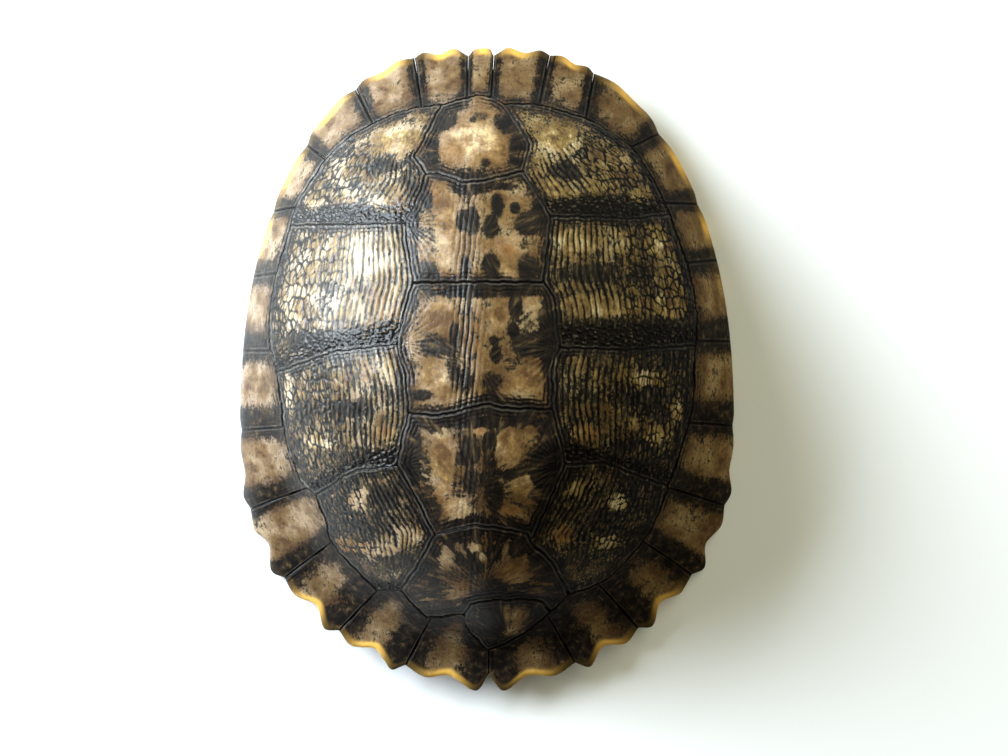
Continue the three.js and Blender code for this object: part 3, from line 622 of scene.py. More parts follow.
def pale_horn(tree, place, ragged, cloud, speckle, drawn, stops):
    """Brown to straw patches with pale hairlines, ruddy places and a painted milky sheen where
    lit.
    """
    blend = calc(tree, "MULTIPLY_ADD", cloud, 0.45, calc(tree, "MULTIPLY_ADD", drawn, 0.25, 0.125))
    blend = calc(tree, "MULTIPLY_ADD", ragged, 0.3, blend)
    pale = ramp(tree, blend, *zip((0.42, 0.51, 0.6), stops))
    crack = node(tree, "ShaderNodeTexVoronoi", feature="DISTANCE_TO_EDGE")
    feed(tree, crack.inputs["Vector"], stretched(tree, place, (120, 200, 120), ragged))
    hair = calc(tree, "MULTIPLY", spread(tree, crack.outputs["Distance"], 0.0, 0.03, 1.0, 0.0),
                spread(tree, cloud, 0.5, 0.6, 0.0, 0.6))
    pale = mixed(tree, hair, pale, PALE_HAIR)
    pale = mixed(tree, spread(tree, speckle, 0.38, 0.62, 0.5, 0.0), pale, stops[0])
    red = calc(tree, "MULTIPLY", painted_field(tree, "ruddy"),
               spread(tree, ragged, 0.35, 0.6, 0.1, 0.6))
    pale = mixed(tree, red, pale, RUDDY_HORN)
    # Painted sheen: a milky haze mixed in, in patches, where the painted sheen is high.
    film = calc(tree, "MULTIPLY", painted_field(tree, "painted_sheen"),
                spread(tree, cloud, 0.42, 0.62, 0.05, 0.6))
    return mixed(tree, film, pale, SHEEN_HAZE_TONE)


def shade_highlights_and_seams(tree, colour, darkness, cloud, lip_highlight):
    """Painted shade in grooves, dark seam lines, painted highlights on crests and seam lips."""
    groove, edge = painted_field(tree, "groove"), painted_field(tree, "edge")
    # Painted shade: the horn turns near black in its grooves.
    colour = mixed(tree, spread(tree, groove, 0.2, 0.66, 0.0, 0.95), colour, GROOVE_SHADE)
    # Painted highlights: ridge crests are lightened on the dark horn, more where the painted sheen
    # is high, and so are the wrinkle cobbles.
    sheen_share = calc(tree, "MULTIPLY_ADD", painted_field(tree, "painted_sheen"), 0.75, 0.25)
    crest = calc(tree, "MAXIMUM", calc(tree, "MULTIPLY", painted_field(tree, "ridged"), sheen_share),
                 calc(tree, "MULTIPLY", painted_field(tree, "wrinkled"), 0.9))
    crest = calc(tree, "MULTIPLY", crest, spread(tree, groove, 0.0, 0.14, 0.32, 0.0))
    colour = mixed(tree, calc(tree, "MULTIPLY", crest, darkness), colour, CREST_HIGHLIGHT)
    # Painted highlight: a pale line on the raised lip beside each seam, in patches, more where the
    # painted sheen is high.
    lip_top = calc(tree, "MULTIPLY", spread(tree, edge, 0.28 * MM, 0.45 * MM),
                   spread(tree, edge, 0.5 * MM, 0.95 * MM, lip_highlight, 0.0))
    patches = calc(tree, "MULTIPLY", sheen_share, spread(tree, cloud, 0.4, 0.6, 0.1, 1.0))
    colour = mixed(tree, calc(tree, "MULTIPLY", lip_top, patches), colour, LIP_HIGHLIGHT)
    return mixed(tree, spread(tree, edge, 0.03 * MM, 0.26 * MM, 0.85, 0.0), colour, SEAM_DIRT)


def roughened(tree, shader, height, strength, depth):
    """Finishes a material: its fine relief as a bump, and its output."""
    bump = node(tree, "ShaderNodeBump")
    bump.inputs["Strength"].default_value = strength
    bump.inputs["Distance"].default_value = depth
    feed(tree, bump.inputs["Height"], height)
    feed(tree, shader.inputs["Normal"], bump.outputs[0])
    feed(tree, node(tree, "ShaderNodeOutputMaterial").inputs["Surface"], shader.outputs[0])


def horn(name, streaks, streak_push, mottling, lip_highlight, fleck_share, pale_stops, deep_stops):
    """Semi-gloss horn: pale streaked patches, near-black blotches, painted shade in the grooves.

    It reads the fields on a scute's mesh, and one that the scute hasn't got counts as zero.
    """
    material = bpy.data.materials.new(name)
    material.use_nodes = True
    tree = material.node_tree
    tree.nodes.clear()
    place = node(tree, "ShaderNodeTexCoord").outputs["Object"]
    ragged = noise(tree, place, 300, 6.0, 0.66)
    cloud = noise(tree, place, 120, 4.0, 0.55)
    speckle = noise(tree, stretched(tree, place, (1500, 900, 1200)), detail=3.0, roughness=0.7)
    streak = growth_streaks(tree, place, streaks)
    drawn = calc(tree, "MULTIPLY", calc(tree, "SUBTRACT", streak, 0.5),
                 painted_field(tree, "streaky"))
    dark = painted_field(tree, "dark")
    groove = painted_field(tree, "groove")
    # The groove term also pushes the horn towards its dark colours: painted shade in the grooves.
    for pattern, strength, start in ((ragged, mottling, -0.5 * mottling), (drawn, streak_push, 0),
                                     (cloud, 1.4, -0.7), (speckle, mottling, -0.5 * mottling),
                                     (groove, 0.8, -0.2)):
        dark = calc(tree, "ADD", dark, calc(tree, "MULTIPLY_ADD", pattern, strength, start))
    darkness = spread(tree, dark, -0.4, 0.42)
    pale = pale_horn(tree, place, ragged, cloud, speckle, drawn, pale_stops)
    deep = ramp(tree, streak, *zip((0.45, 0.7), deep_stops))
    deep = mixed(tree, spread(tree, streak, 0.58, 0.7, 0.0, fleck_share), deep, PALE_FLECK)
    colour = mixed(tree, darkness, pale, deep)
    # The amber rim, partly painted glow of light through the thin horn.
    amber = calc(tree, "MULTIPLY", painted_field(tree, "rim"), 0.9)
    colour = shade_highlights_and_seams(tree, mixed(tree, amber, colour, AMBER_EDGE_AND_GLOW), darkness, cloud, lip_highlight)
    shader = node(tree, "ShaderNodeBsdfPrincipled")
    feed(tree, shader.inputs["Base Color"], colour)
    feed(tree, shader.inputs["Roughness"], spread(tree, ragged, 0.3, 0.7, 0.24, 0.42))
    # The specular level follows the painted sheen.
    feed(tree, shader.inputs["Specular IOR Level"],
         calc(tree, "MULTIPLY", painted_field(tree, "painted_sheen"), 0.4))
    scratch = noise(tree, stretched(tree, place, (2600, 1100, 1800)), detail=4.0, roughness=0.6)
    roughened(tree, shader, scratch, strength=0.6, depth=0.12 * MM)
    return material


NEAR_BLACK = tone(19, 16, 15)
DARK_BROWN = tone(50, 40, 30)
vertebral_horn = horn("vertebral_horn", streaks=None, streak_push=3.2, mottling=1.9, lip_highlight=0.5,
                      fleck_share=0.4, deep_stops=(NEAR_BLACK, DARK_BROWN),
                      pale_stops=(tone(84, 60, 36), tone(140, 110, 66), tone(214, 186, 130)))

# Each scute's blotches: middle x and y, half width and half length in millimetres, and how
# dark (above nought) or pale (below).
VERTEBRAL_MARKS = {
    1: [(-15.5, 63, 2, 6, 0.8), (-11, 73.5, 3, 3.5, 0.6), (9, 63, 3, 5.5, 0.9),
        (6, 72, 4, 3.5, 0.8), (-1.5, 74.5, 2.5, 1.5, 0.7), (-4, 73.5, 1, 1, 0.8),
        (0, 59.5, 1.5, 1.5, 1), (-5.5, 54, 7.5, 1.5, 1), (-2, 80, 3, 2.5, -0.5),
        (-5, 67, 6.5, 4.5, -0.5), (3, 63.5, 4, 4, -0.4)],
    2: [(-4, 51.5, 5.5, 2, 1), (5, 52, 4.5, 1, 0.9), (-16.5, 48, 1.5, 3, 0.8),
        (-7, 41.5, 1.5, 3, 1.2), (-4, 41.5, 2.2, 3.4, 1.3), (3.5, 46.5, 1.8, 3.4, 1.4),
        (1.5, 40, 2, 3.2, 1.5), (8.5, 45.5, 1.4, 1.6, 1.5), (12, 41, 3.1, 3.4, 1.3),
        (16, 43.5, 3, 5, 1.1), (15, 54, 1.5, 6.5, 0.9), (1.5, 29, 2.3, 2.9, 1.4),
        (12, 28.5, 2.9, 3.4, 1.4), (-16, 27, 2.8, 2.8, 1.2), (-5.5, 28.5, 1.5, 2.5, 0.8),
        (-21, 41.5, 2, 5, 1.1), (-20.5, 36.5, 1, 4.5, 0.5), (-10.5, 39.5, 4, 7, -0.4),
        (7, 34.5, 3.5, 3, -0.4), (-12, 30, 3, 3.5, -0.3), (7, 27.5, 2.5, 3.5, -0.4)],
    3: [(0, 21, 16, 1.5, 1.1), (-14, 6, 4, 3.5, 0.9), (-8.5, 9.5, 1.5, 3, 1.1),
        (-17.5, -8, 3.5, 1.5, 0.9), (-5.5, -4, 2.5, 3, 0.7), (8.5, 17.5, 2, 3, 1.2),
        (8, 10, 1.5, 2, 1.3), (3, 3.5, 1.5, 2.5, 1.3), (2.5, 7.5, 1.5, 1.5, 0.9),
        (12.5, 6, 4, 3, 0.9), (17.5, 8, 2.5, 9.5, 0.9), (2, -4.5, 3, 3, 0.9),
        (2, -9, 3.5, 2, 0.9), (-18.5, 19, 2.5, 4, 0.3), (-12.5, 15, 3.5, 3.5, -0.6),
        (-14, -3, 4, 4, -0.6), (4, 14, 2.5, 3.5, -0.5), (13.5, 16.5, 2, 3, -0.2),
        (8.5, 5, 6, 10, 0.3), (-9, 2, 2, 9, 0.5), (11.5, -3.5, 5, 4, -0.6),
        (-7, -9, 4, 2, -0.3)],
    4: [(-4.5, -23.5, 2.5, 4, 1.1), (1, -21.5, 2, 3.5, 1), (-3.5, -32, 3, 3, 0.9),
        (2.5, -36.5, 2.5, 4, 1.1), (7.5, -30, 3.5, 1.5, 0.9), (-21, -23, 2.5, 9.5, 0.9),
        (-15, -41, 2.5, 3, 1), (1.5, -29, 2.5, 6, 0.5), (0, -15.5, 17, 1.5, 0.8),
        (16.5, -28.5, 4, 11.5, 0.7), (-12, -27.5, 3, 9, -1.1), (-8, -40, 3.5, 3, -1),
        (6.5, -22.5, 3.5, 5, -0.9), (10.5, -33.5, 3, 3.5, -1), (13, -20, 3, 2, -0.5),
        (-1, -18, 2.5, 1, -0.8), (7, -40.5, 3.5, 1.5, -0.5)],
    5: [(-3, -51.5, 2, 1.5, -1.4), (-1, -54.5, 1, 1.5, -1.3), (-8, -66.5, 4, 4, -0.7),
        (8, -59.5, 5, 3.5, -0.8), (-11.5, -56.5, 2, 4.5, -0.6), (11, -56, 2, 1.5, -0.5),
        (-3, -57, 2, 3, 0.7), (2.5, -53.5, 2, 2.5, 0.8), (3, -64.5, 3, 3, 0.8),
        (14, -66, 4, 2.5, 0.7), (-15.5, -64.5, 3.5, 3, 0.4)],
    6: [(2, -77, 4, 5.5, 1), (16, -73, 3.5, 3.5, 0.8), (6, -73, 1, 4, -0.8),
        (9, -74.5, 1.5, 3.5, -0.7), (8.5, -80, 4.5, 2, -0.6)],
}

# Redder places on the scutes of any kind, with the same five numbers.
RUDDY_MARKS = [
    (6.5, 34.5, 4.5, 3.5, 1), (-14.5, 50, 2, 3, 0.5), (28.5, -18.5, 4.5, 2.5, 1),
    (22.5, -48, 3.5, 3.5, 1), (-34, -53.5, 11, 3.5, 1), (-22, -47, 4.5, 4, 1),
    (-37.5, -39, 4.5, 4, 1), (-8, -66.5, 4.5, 4.5, 1), (8, -59.5, 4.5, 3.5, 0.7),
    (-10, -76.5, 6, 4, 1), (-1, -18, 3, 1.5, 1), (7, -40.5, 3.5, 1.5, 1), (-29, 19, 4.5, 4.5, 0.6),
    (-34, -1.5, 1.5, 3.5, 0.8), (-28.5, -18.5, 3.5, 2, 0.7), (-48.5, -6.5, 2.5, 2.5, 0.6),
    (-12.5, -37.5, 3.5, 5.5, 0.5), (22, 64, 2.5, 2, 0.6), (-28, 64, 4, 4, 0.35),
    (-55, 21, 2.5, 6, 0.4), (-26.5, 15, 3, 5, 0.6), (26, 33, 3, 4, 0.5),
    (-10, 62, 3.5, 4, 0.5), (-3, 5, 1.5, 11, 0.4),
]

# For each scute from the head on: how dark it is as a whole, how strong its streaks are, how far
# its dark border reaches in, its ridges beside the keel, and those that fan out from its left
# and right corners.
VERTEBRAL_DARKNESS = {1: -0.24, 2: 0.0, 3: -0.04, 4: 0.25, 5: 0.45, 6: 0.35}
VERTEBRAL_STREAKS = {1: 0.12, 2: 0.4, 3: 0.6, 4: 0.95, 5: 1.6, 6: 1.2}
VERTEBRAL_EDGE_DARK = {1: 4.6 * MM, 2: 1.8 * MM, 3: 2.2 * MM, 4: 2.6 * MM, 5: 3 * MM, 6: 2 * MM}
KEEL_RIDGES = {1: 0.25, 2: 0.7, 3: 1.0, 4: 0.5, 5: 0.3, 6: 0.3}
CORNER_FANS = {2: (0.8, 0.6), 3: (0.7, 0.9), 4: (0.5, 1.1)}
FAN_REACH = 11 * MM
FAN_RADIUS = 9 * MM
CENTRE_SHIFT = 5 * MM
KEEL_RIDGES_LEFT = 3.6 * MM
KEEL_RIDGES_WIDTH = 4.2 * MM


def vertebral(number):
    """Makes one vertebral scute and gives back its outline for its neighbours."""
    node_name = f"vertebral_{number}"
    points, faces, plan, edge, corners = plate(node_name)
    x, y = plan[:, 0], plan[:, 1]
    centre = (corners.min(axis=0) + corners.max(axis=0)) / 2
    beside_keel = (x - keel_x(y) + KEEL_RIDGES_LEFT) / KEEL_RIDGES_WIDTH
    dark = VERTEBRAL_DARKNESS[number] + marks_at(plan, VERTEBRAL_MARKS[number])
    flow = x - 0.1 * (y - centre[1])
    ridged = KEEL_RIDGES[number] * np.exp(-beside_keel**2) + 0.06
    for corner, height in zip((corners[corners[:, 0].argmin()], corners[corners[:, 0].argmax()]),
                              CORNER_FANS.get(number, (0, 0))):
        out = plan - corner
        reach = np.hypot(*out.T)
        fan = height * np.exp(-((reach / FAN_REACH) ** 2))
        inward = np.arctan2(out[:, 1], np.abs(out[:, 0]))
        flow = np.where(fan > ridged, FAN_RADIUS * inward, flow)
        ridged = np.maximum(ridged, fan)
    spoke = plan - (centre - (0, CENTRE_SHIFT))
    ring = np.hypot(*spoke.T)
    fields = {
        "flow": flow,
        "spoke_x": spoke[:, 0] / (ring + MM),
        "spoke_y": spoke[:, 1] / (ring + MM),
        "ring": ring,
        "along": y,
        "beaded": np.full(len(plan), 0.25),
        "edge": edge,
        "skin": smooth(edge / LIP_WIDTH),
        "ridged": ridged,
        "streaky": np.full(len(plan), VERTEBRAL_STREAKS[number]),
        # Painted sheen, most on the lit left flank.
        "painted_sheen": painted_sheen(plan),
        "dark": dark + 0.8 * np.exp(-((edge / VERTEBRAL_EDGE_DARK[number]) ** 2)),
        "ruddy": np.clip(marks_at(plan, RUDDY_MARKS), 0, 1),
    }
    bare = horn_object(f"vertebral_scute_{number}", points, faces, fields)
    scute = grow(bare, ridge_pitch=1.5 * MM, ridge_height=0.42 * MM, ridge_wander=1.2 * MM,
                 bead_length=5.0, seam_pitch=1.15 * MM, seam_height=0.26 * MM, seam_reach=4.8 * MM,
                 seed=3.1 * number, material=vertebral_horn)
    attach(scute, "root")
    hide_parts(node_name)
    return corners


vertebral_edges = [vertebral(number) for number in VERTEBRAL_MARKS]

# ---- Pleural scutes -----------------------------------------------------------------------
# Four broad plates of horn on each flank, held to the bone between the vertebral and marginal
# scutes. Lengthwise ridges like cords cover them, and their rear edges are cobbled and dark.
pleural_horn = horn("pleural_horn", streaks=(1050, 190, 500), streak_push=2.6, mottling=3.0,
                    lip_highlight=0.5, fleck_share=0.6, deep_stops=(NEAR_BLACK, tone(54, 46, 35)),
                    pale_stops=(tone(80, 60, 38), tone(150, 126, 74), tone(226, 208, 164)))

PLEURAL_MARKS = {
    "left_1": [(-26, 67.5, 7, 3.5, -1.1), (-42, 58.5, 5.5, 4, -1.1), (-52, 51, 3.5, 4, -1),
               (-41, 51, 4.5, 2, -0.8), (-28, 48, 6, 2.5, -0.6), (-31, 59.5, 5.5, 2.5, 1),
               (-22, 55.5, 2.5, 6.5, 0.5), (-44.5, 46, 9.5, 2.5, 0.9), (-31, 43, 10, 1.5, 0.9),
               (-48, 54.5, 1, 1.5, 0.7), (-39, 55, 2, 2, 0.6), (-35, 78, 9, 2, 0.3)],
    "left_2": [(-41.5, 31, 14, 6.5, -0.9), (-55.5, 20, 5.5, 6, -0.9), (-29, 19, 4.5, 4.5, -0.6),
               (-41, 17.5, 6, 3.5, -0.5), (-42.5, 8, 17.5, 3, 1.1), (-45.5, 23.5, 3, 2, 0.5),
               (-56, 31, 2, 1.5, 0.4), (-34.5, 24, 2.5, 2.5, 0.4)],
    "left_3": [(-59.5, -8, 2, 6, -1), (-54.5, -5.5, 2, 4, -0.8), (-42, -3.5, 2.5, 2.5, -0.8),
               (-48.5, -6.5, 2.5, 2.5, -0.5), (-34, -1.5, 1.5, 3.5, -0.5),
               (-27.5, -1, 2.5, 3.5, -0.8), (-50.5, -21.5, 3, 2.5, -0.9),
               (-46.5, -22.5, 2.5, 1.5, -0.8), (-28.5, -18.5, 3.5, 2, -0.5),
               (-40, -12, 8.5, 2.5, 0.6), (-53.5, -13.5, 3.5, 4, 0.5), (-35, -25.5, 10, 2.5, 0.5)],
    "left_4": [(-37.5, -39, 3, 2.5, -1), (-35, -36, 1.5, 1.5, -0.9), (-32, -53.5, 7, 2.5, -1),
               (-23, -48, 4, 3.5, -0.9), (-19.5, -49.5, 1.5, 1.5, -0.6), (-29, -37, 5, 3.5, 0.5),
               (-42, -53, 5, 2.5, -0.8), (-28, -51, 4, 2.5, -0.5),
               (-38.5, -46.5, 4.5, 2.5, 0.5), (-25, -56, 5.5, 2, 0.6)],
    "right_1": [(22, 67.5, 5.5, 4, -1.1), (32.5, 53.5, 3, 2.5, -0.7), (39.5, 60.5, 6.5, 5, -0.45),
                (47, 51.5, 4.5, 2.5, -0.9), (19.5, 52, 2, 3, -0.6), (23.5, 50, 4.5, 2, -0.6),
                (23.5, 57, 5, 2.5, 0.9), (21.5, 70.5, 1, 1, 0.8), (24.5, 65, 1, 1, 0.8),
                (33.5, 47.5, 9, 2, 0.7), (41.5, 59.5, 1.5, 1.5, 0.5)],
    "right_2": [(26, 36, 7, 3.5, -0.8), (50.5, 38, 4, 4.5, -1.1), (38.5, 36.5, 4.5, 3.5, -0.5),
                (30.5, 27, 10.5, 3, 0.7), (45, 27, 3.5, 4, 0.3), (55, 24.5, 3.5, 9, -0.4),
                (33, 17.5, 12.5, 3, -0.9), (52.5, 18, 4.5, 3.5, -0.9), (30.5, 10.5, 14, 3, 0.9),
                (51, 12, 5, 3, 0.7)],
    "right_3": [(26.5, 1, 1.5, 3, -0.5), (31, -2, 1, 1.5, -0.7), (39, -1.5, 1.5, 2.5, -0.6),
                (46, -3, 4.5, 2.5, -0.9), (51, -3.5, 2.5, 2.5, -0.6), (57, -13, 2, 4, -0.8),
                (28.5, -18.5, 4, 2.5, -0.6), (49.5, -20, 4, 3, -1), (43, -16.5, 2.5, 2, -0.7),
                (47, -9.5, 5, 3, 0.7), (54, 2, 4, 2.5, 0.6), (42, -23, 6.5, 2.5, 0.6)],
    "right_4": [(38.5, -39, 3, 3, -1.2), (26, -34.5, 2.5, 2.5, -0.8), (35.5, -51.5, 5, 2.5, -0.8),
                (22.5, -48, 3, 3.5, -0.8), (34.5, -43.5, 5.5, 2, 0.5), (43.5, -34, 3.5, 6, 0.5),
                (24.5, -56.5, 6.5, 2, 0.5)],
}

# How dark the scutes are as a whole, their cords and beads, the cobbled band at the rear, and
# the dark, ruddy border beside the marginals.
PLEURAL_DARKNESS = {"left_1": 0.0, "left_2": -0.08, "left_3": 0.15, "left_4": 0.42,
                    "right_1": 0.0, "right_2": 0.12, "right_3": 0.36, "right_4": 0.48}
RIDGE_PITCH = {"left": 1.6 * MM, "right": 1.75 * MM}
BEAD_LENGTH = {"left": 2.2, "right": 1.7}
RIDGE_SIZE = {1: 0.9, 2: 1.0, 3: 0.9, 4: 0.72}
WRINKLE_BAND = {1: 7 * MM, 2: 8 * MM, 3: 7 * MM, 4: 3 * MM}
# The cobbled band is painted less dark on the left flank than on the right: a painted highlight
# where the light falls on it.
WRINKLE_DARK = {"left": 0.25, "right": 0.6}
PLEURAL_EDGE_DARK = 1.6 * MM
PLEURAL_RIM_WIDTH = 3 * MM
RIM_SIDE_DARK = {"left": 0.3, "right": 0.5}
RIM_SIDE_RUDDY = {1: 0.3, 2: 0.3, 3: 0.8, 4: 0.8}


def shared_side(corners, others, reach):
    """The run of an outline's points that lie along any of the other outlines."""
    near = np.min([distance_to(corners, other, closed=True) for other in others], axis=0) < reach
    start = next(i for i in range(len(near)) if near[i] and not near[i - 1])
    order = (start + np.arange(len(near))) % len(near)
    count = next((k for k, i in enumerate(order) if not near[i]), len(near))
    return corners[order[:count]]


def eased(line):
    """The line with its corners drawn out, as the ridges nearest to it run."""
    points = flowing(line, np.linspace(0, 1, 30))
    for _ in range(14):
        points[1:-1] = (points[:-2] + 2 * points[1:-1] + points[2:]) / 4
    return points


def pleural(label):
    """Makes one pleural scute, whose cords run between the vertebrals and the marginals."""
    side, number = label.split("_")
    number = int(number)
    node_name = f"pleural_{label}"
    points, faces, plan, edge, corners = plate(node_name)
    middle_side = eased(shared_side(corners, vertebral_edges, 0.8 * MM))
    rim_edges = [top_outline(f"marginal_{side}_{i}")[0] for i in range(1, 13)]
    rim_edges.append(top_outline("cervical")[0])
    rim_side = shared_side(corners, rim_edges, 0.8 * MM)
    to_middle = distance_to(plan, middle_side)
    to_rim = distance_to(plan, rim_side)
    width = (to_middle + to_rim).mean()
    share = to_middle / (to_middle + to_rim)
    flow = width * share
    room = smooth(((to_middle + to_rim) / width - 0.6) / 0.3)
    rear_ends = [line[np.argmin(line[:, 1])] for line in (middle_side, rim_side)]
    to_rear = distance_to(plan, np.array(rear_ends))
    band = WRINKLE_BAND[number]
    wrinkled = 1 - smooth((to_rear - 0.5 * band) / (0.7 * band))
    dark = PLEURAL_DARKNESS[label] + marks_at(plan, PLEURAL_MARKS[label])
    at_rim = np.exp(-((to_rim / PLEURAL_RIM_WIDTH) ** 2))
    dark += WRINKLE_DARK[side] * wrinkled + RIM_SIDE_DARK[side] * at_rim
    ruddy = marks_at(plan, RUDDY_MARKS) + RIM_SIDE_RUDDY[number] * at_rim
    fields = {
        "flow": flow,
        "edge": edge,
        "skin": smooth(edge / LIP_WIDTH),
        "along": plan[:, 1],
        "beaded": 0.15 + 0.85 * smooth((share - 0.3) / 0.4),
        "streaky": np.ones(len(plan)),
        # Painted sheen, most on the lit left flank.
        "painted_sheen": painted_sheen(plan),
        "ridged": (1 - 0.85 * wrinkled) * (0.25 + 0.75 * room),
        "wrinkled": wrinkled,
        "dark": dark + 0.6 * np.exp(-((edge / PLEURAL_EDGE_DARK) ** 2)),
        "ruddy": np.clip(ruddy, 0, 1),
    }
    bare = horn_object(f"pleural_scute_{label}", points, faces, fields)
    size = RIDGE_SIZE[number]
    scute = grow(bare, ridge_pitch=size * RIDGE_PITCH[side], ridge_height=size * 0.42 * MM,
                 ridge_wander=1.6 * MM, bead_length=BEAD_LENGTH[side], seam_pitch=1.1 * MM,
                 seam_height=0.28 * MM, seam_reach=3.8 * MM, wrinkle_size=1.3 * MM,
                 wrinkle_height=0.56 * MM, seed=17.3 + 2.7 * number, material=pleural_horn)
    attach(scute, "root")
    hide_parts(node_name)


for label in PLEURAL_MARKS:
    pleural(label)

# ---- Marginal scutes and the cervical -----------------------------------------------------
# Twelve scutes on each side and a narrow one at the neck, each folded over the rim of the bone.
# Their middles are tan, their seams dark, and the thin edge is amber, part horn colour and part
# painted glow.
marginal_horn = horn("marginal_horn", streaks=(420, 420, 420), streak_push=1.6, mottling=2.0,
                     lip_highlight=0.28, fleck_share=0.3, deep_stops=(NEAR_BLACK, DARK_BROWN),
                     pale_stops=(tone(72, 52, 35), tone(124, 98, 62), tone(194, 164, 118)))

FOOT_WIDTH_SIDE = 5 * MM
FOOT_WIDTH_ENDS = 8 * MM
FOOT_NARROWING_SPAN = 55
FOOT_WIDENING_FROM = 100
FOOT_WIDENING_SPAN = 40
RIM_CAVITY_INSET = 2.2 * MM
EDGE_ROUNDING = 1.6 * MM
EDGE_TUCK = 0.4 * MM
END_DROP = 0.25 * MM
MARGINAL_GRAIN = 0.42 * MM
EDGE_ROWS = 6
FOOT_ROWS = 5
CORNER_STATIONS = (0, 0.14 * MM, 0.32 * MM, 0.55 * MM)


def foot_width(angle):
    """Width of the face that turns under the rim: narrower where the shell rests on it."""
    side = smooth(angle / FOOT_NARROWING_SPAN)
    side -= smooth((angle - FOOT_WIDENING_FROM) / FOOT_WIDENING_SPAN)
    return FOOT_WIDTH_ENDS + (FOOT_WIDTH_SIDE - FOOT_WIDTH_ENDS) * side


def rim_stretches(name):
    """The rim line and the inner border of a marginal scute, both from its first seam on."""
    loop, on_rim = top_outline(name)
    start = next(i for i in range(len(loop)) if on_rim[i] and not on_rim[i - 1])
    loop = np.roll(loop, -start, axis=0)
    count = int(on_rim.sum())
    return loop[:count], loop[count + 2 : len(loop) - 2][::-1]


def places_along(length, grain):
    """Places from 0 to 1, close together at both ends where the seams roll down."""
    ends = np.array(CORNER_STATIONS) / length
    steps = max(2, round((1 - 2 * ends[-1]) * length / grain))
    middle = np.linspace(ends[-1], 1 - ends[-1], steps + 1)
    return np.concatenate([ends[:-1], middle, (1 - ends[:-1])[::-1]])


def bend(first, control, last, count):
    """count points of a quadratic bend, without its first."""
    t = (np.arange(1, count + 1) / count)[:, None, None]
    return (1 - t) ** 2 * first + 2 * t * (1 - t) * control + t**2 * last


def end_cap(column, outside, turns):
    """Triangles that close one end of a folded scute, from its outer rows to its inner ones."""
    inner = column[outside:][::-1]
    cap = []
    j = 0
    for i in range(outside - 1):
        cap.append((column[i], column[i + 1], inner[j]))
        if j + 1 < len(turns) and i + 1 >= turns[j + 1]:
            cap.append((column[i + 1], inner[j + 1], inner[j]))
            j += 1
    return cap


def folded(name):
    """A scute over the rim: sections from the inner border to the edge and back underneath."""
    rim, border = rim_stretches(name)
    length = np.hypot(*np.diff(rim, axis=0).T).sum()
    spare = SEAM_NARROWING / length
    places = places_along(length, MARGINAL_GRAIN) * (1 + 2 * spare) - spare
    outer = flowing(rim, places)
    inner = wander(flowing(border, places))
    width = np.hypot(*(outer - inner).T)
    out = (outer - inner) / width[:, None]
    inner = inner - out * SEAM_NARROWING
    width = width + SEAM_NARROWING
    angle = head_angle(outer[:, 0], outer[:, 1])
    lift = rim_lift(angle)
    foot = np.minimum(foot_width(angle), 0.6 * width)
    to_seam = np.minimum(places, 1 - places) * length + SEAM_NARROWING
    top_rows = max(8, round(float(width.mean()) / MARGINAL_GRAIN))
    shares = np.concatenate([np.array(CORNER_STATIONS[:-1]) / width.mean(),
                             np.linspace(CORNER_STATIONS[-1] / width.mean(), 1, top_rows)])
    rows = []
    edges = []
    for share in shares:
        reach = share * (width - EDGE_ROUNDING)
        edge = np.minimum(reach, to_seam)
        rows.append(sink(inner + out * reach[:, None], lip(edge)))
        edges.append(edge)

    def section(reach, height):
        return np.column_stack([inner + out * reach[:, None], height])

    def sunk(reach):
        return sink(inner + out * reach[:, None], SCUTE_THICKNESS)

    brow = section(width, dome_height(outer[:, 0], outer[:, 1]) - lip(to_seam))
    sole = section(width, lift)
    halfway = (brow + sole) / 2
    tuck = width - EDGE_ROUNDING - EDGE_TUCK
    tucked = section(tuck, lift)
    rows.extend(bend(rows[-1], brow, halfway, EDGE_ROWS))
    rows.extend(bend(halfway, sole, tucked, EDGE_ROWS))
    for share in np.arange(1, FOOT_ROWS + 1) / FOOT_ROWS:
        rows.append(section(tuck + (width - foot - tuck) * share, lift))
    outside = len(rows)
    ceiling = lift + SCUTE_THICKNESS
    rows.append(section(width - foot, ceiling))
    rows.append(section(width - RIM_CAVITY_INSET, ceiling))
    rows.extend([sunk(0.7 * width), sunk(0.35 * width), sunk(0 * width)])
    grid = np.array(rows)
    sideways = np.zeros((2, 3))
    for end, neighbour in ((0, 3), (-1, -4)):
        away = grid[0, end] - grid[0, neighbour]
        sideways[end] = away / np.linalg.norm(away) * SEAM_CLOSING
    ends = [grid[:, [0]] + sideways[0], grid[:, [-1]] + sideways[1]]
    for piece in ends:
        piece[: len(shares), :, 2] -= END_DROP
    grid = np.concatenate([ends[0], grid, ends[1]], axis=1)
    row_count, station_count = grid.shape[:2]
    at = np.arange(row_count * station_count).reshape(row_count, station_count)
    faces = []
    for i in range(row_count):
        a, b = at[i], at[(i + 1) % row_count]
        faces.extend(zip(a[:-1].tolist(), b[:-1].tolist(), b[1:].tolist(), a[1:].tolist()))
    turns = [0, len(shares) // 2, len(shares) - 1, outside - 1 - FOOT_ROWS, outside - 1]
    faces.extend(end_cap(at[:, 0].tolist(), outside, turns))
    faces.extend(face[::-1] for face in end_cap(at[:, -1].tolist(), outside, turns))
    share_down = np.concatenate([shares, np.ones(row_count - len(shares))])
    fields = {"places": places, "shares": share_down, "edges": np.array(edges), "width": width,
              "outside": outside, "length": length}
    return grid, faces, fields


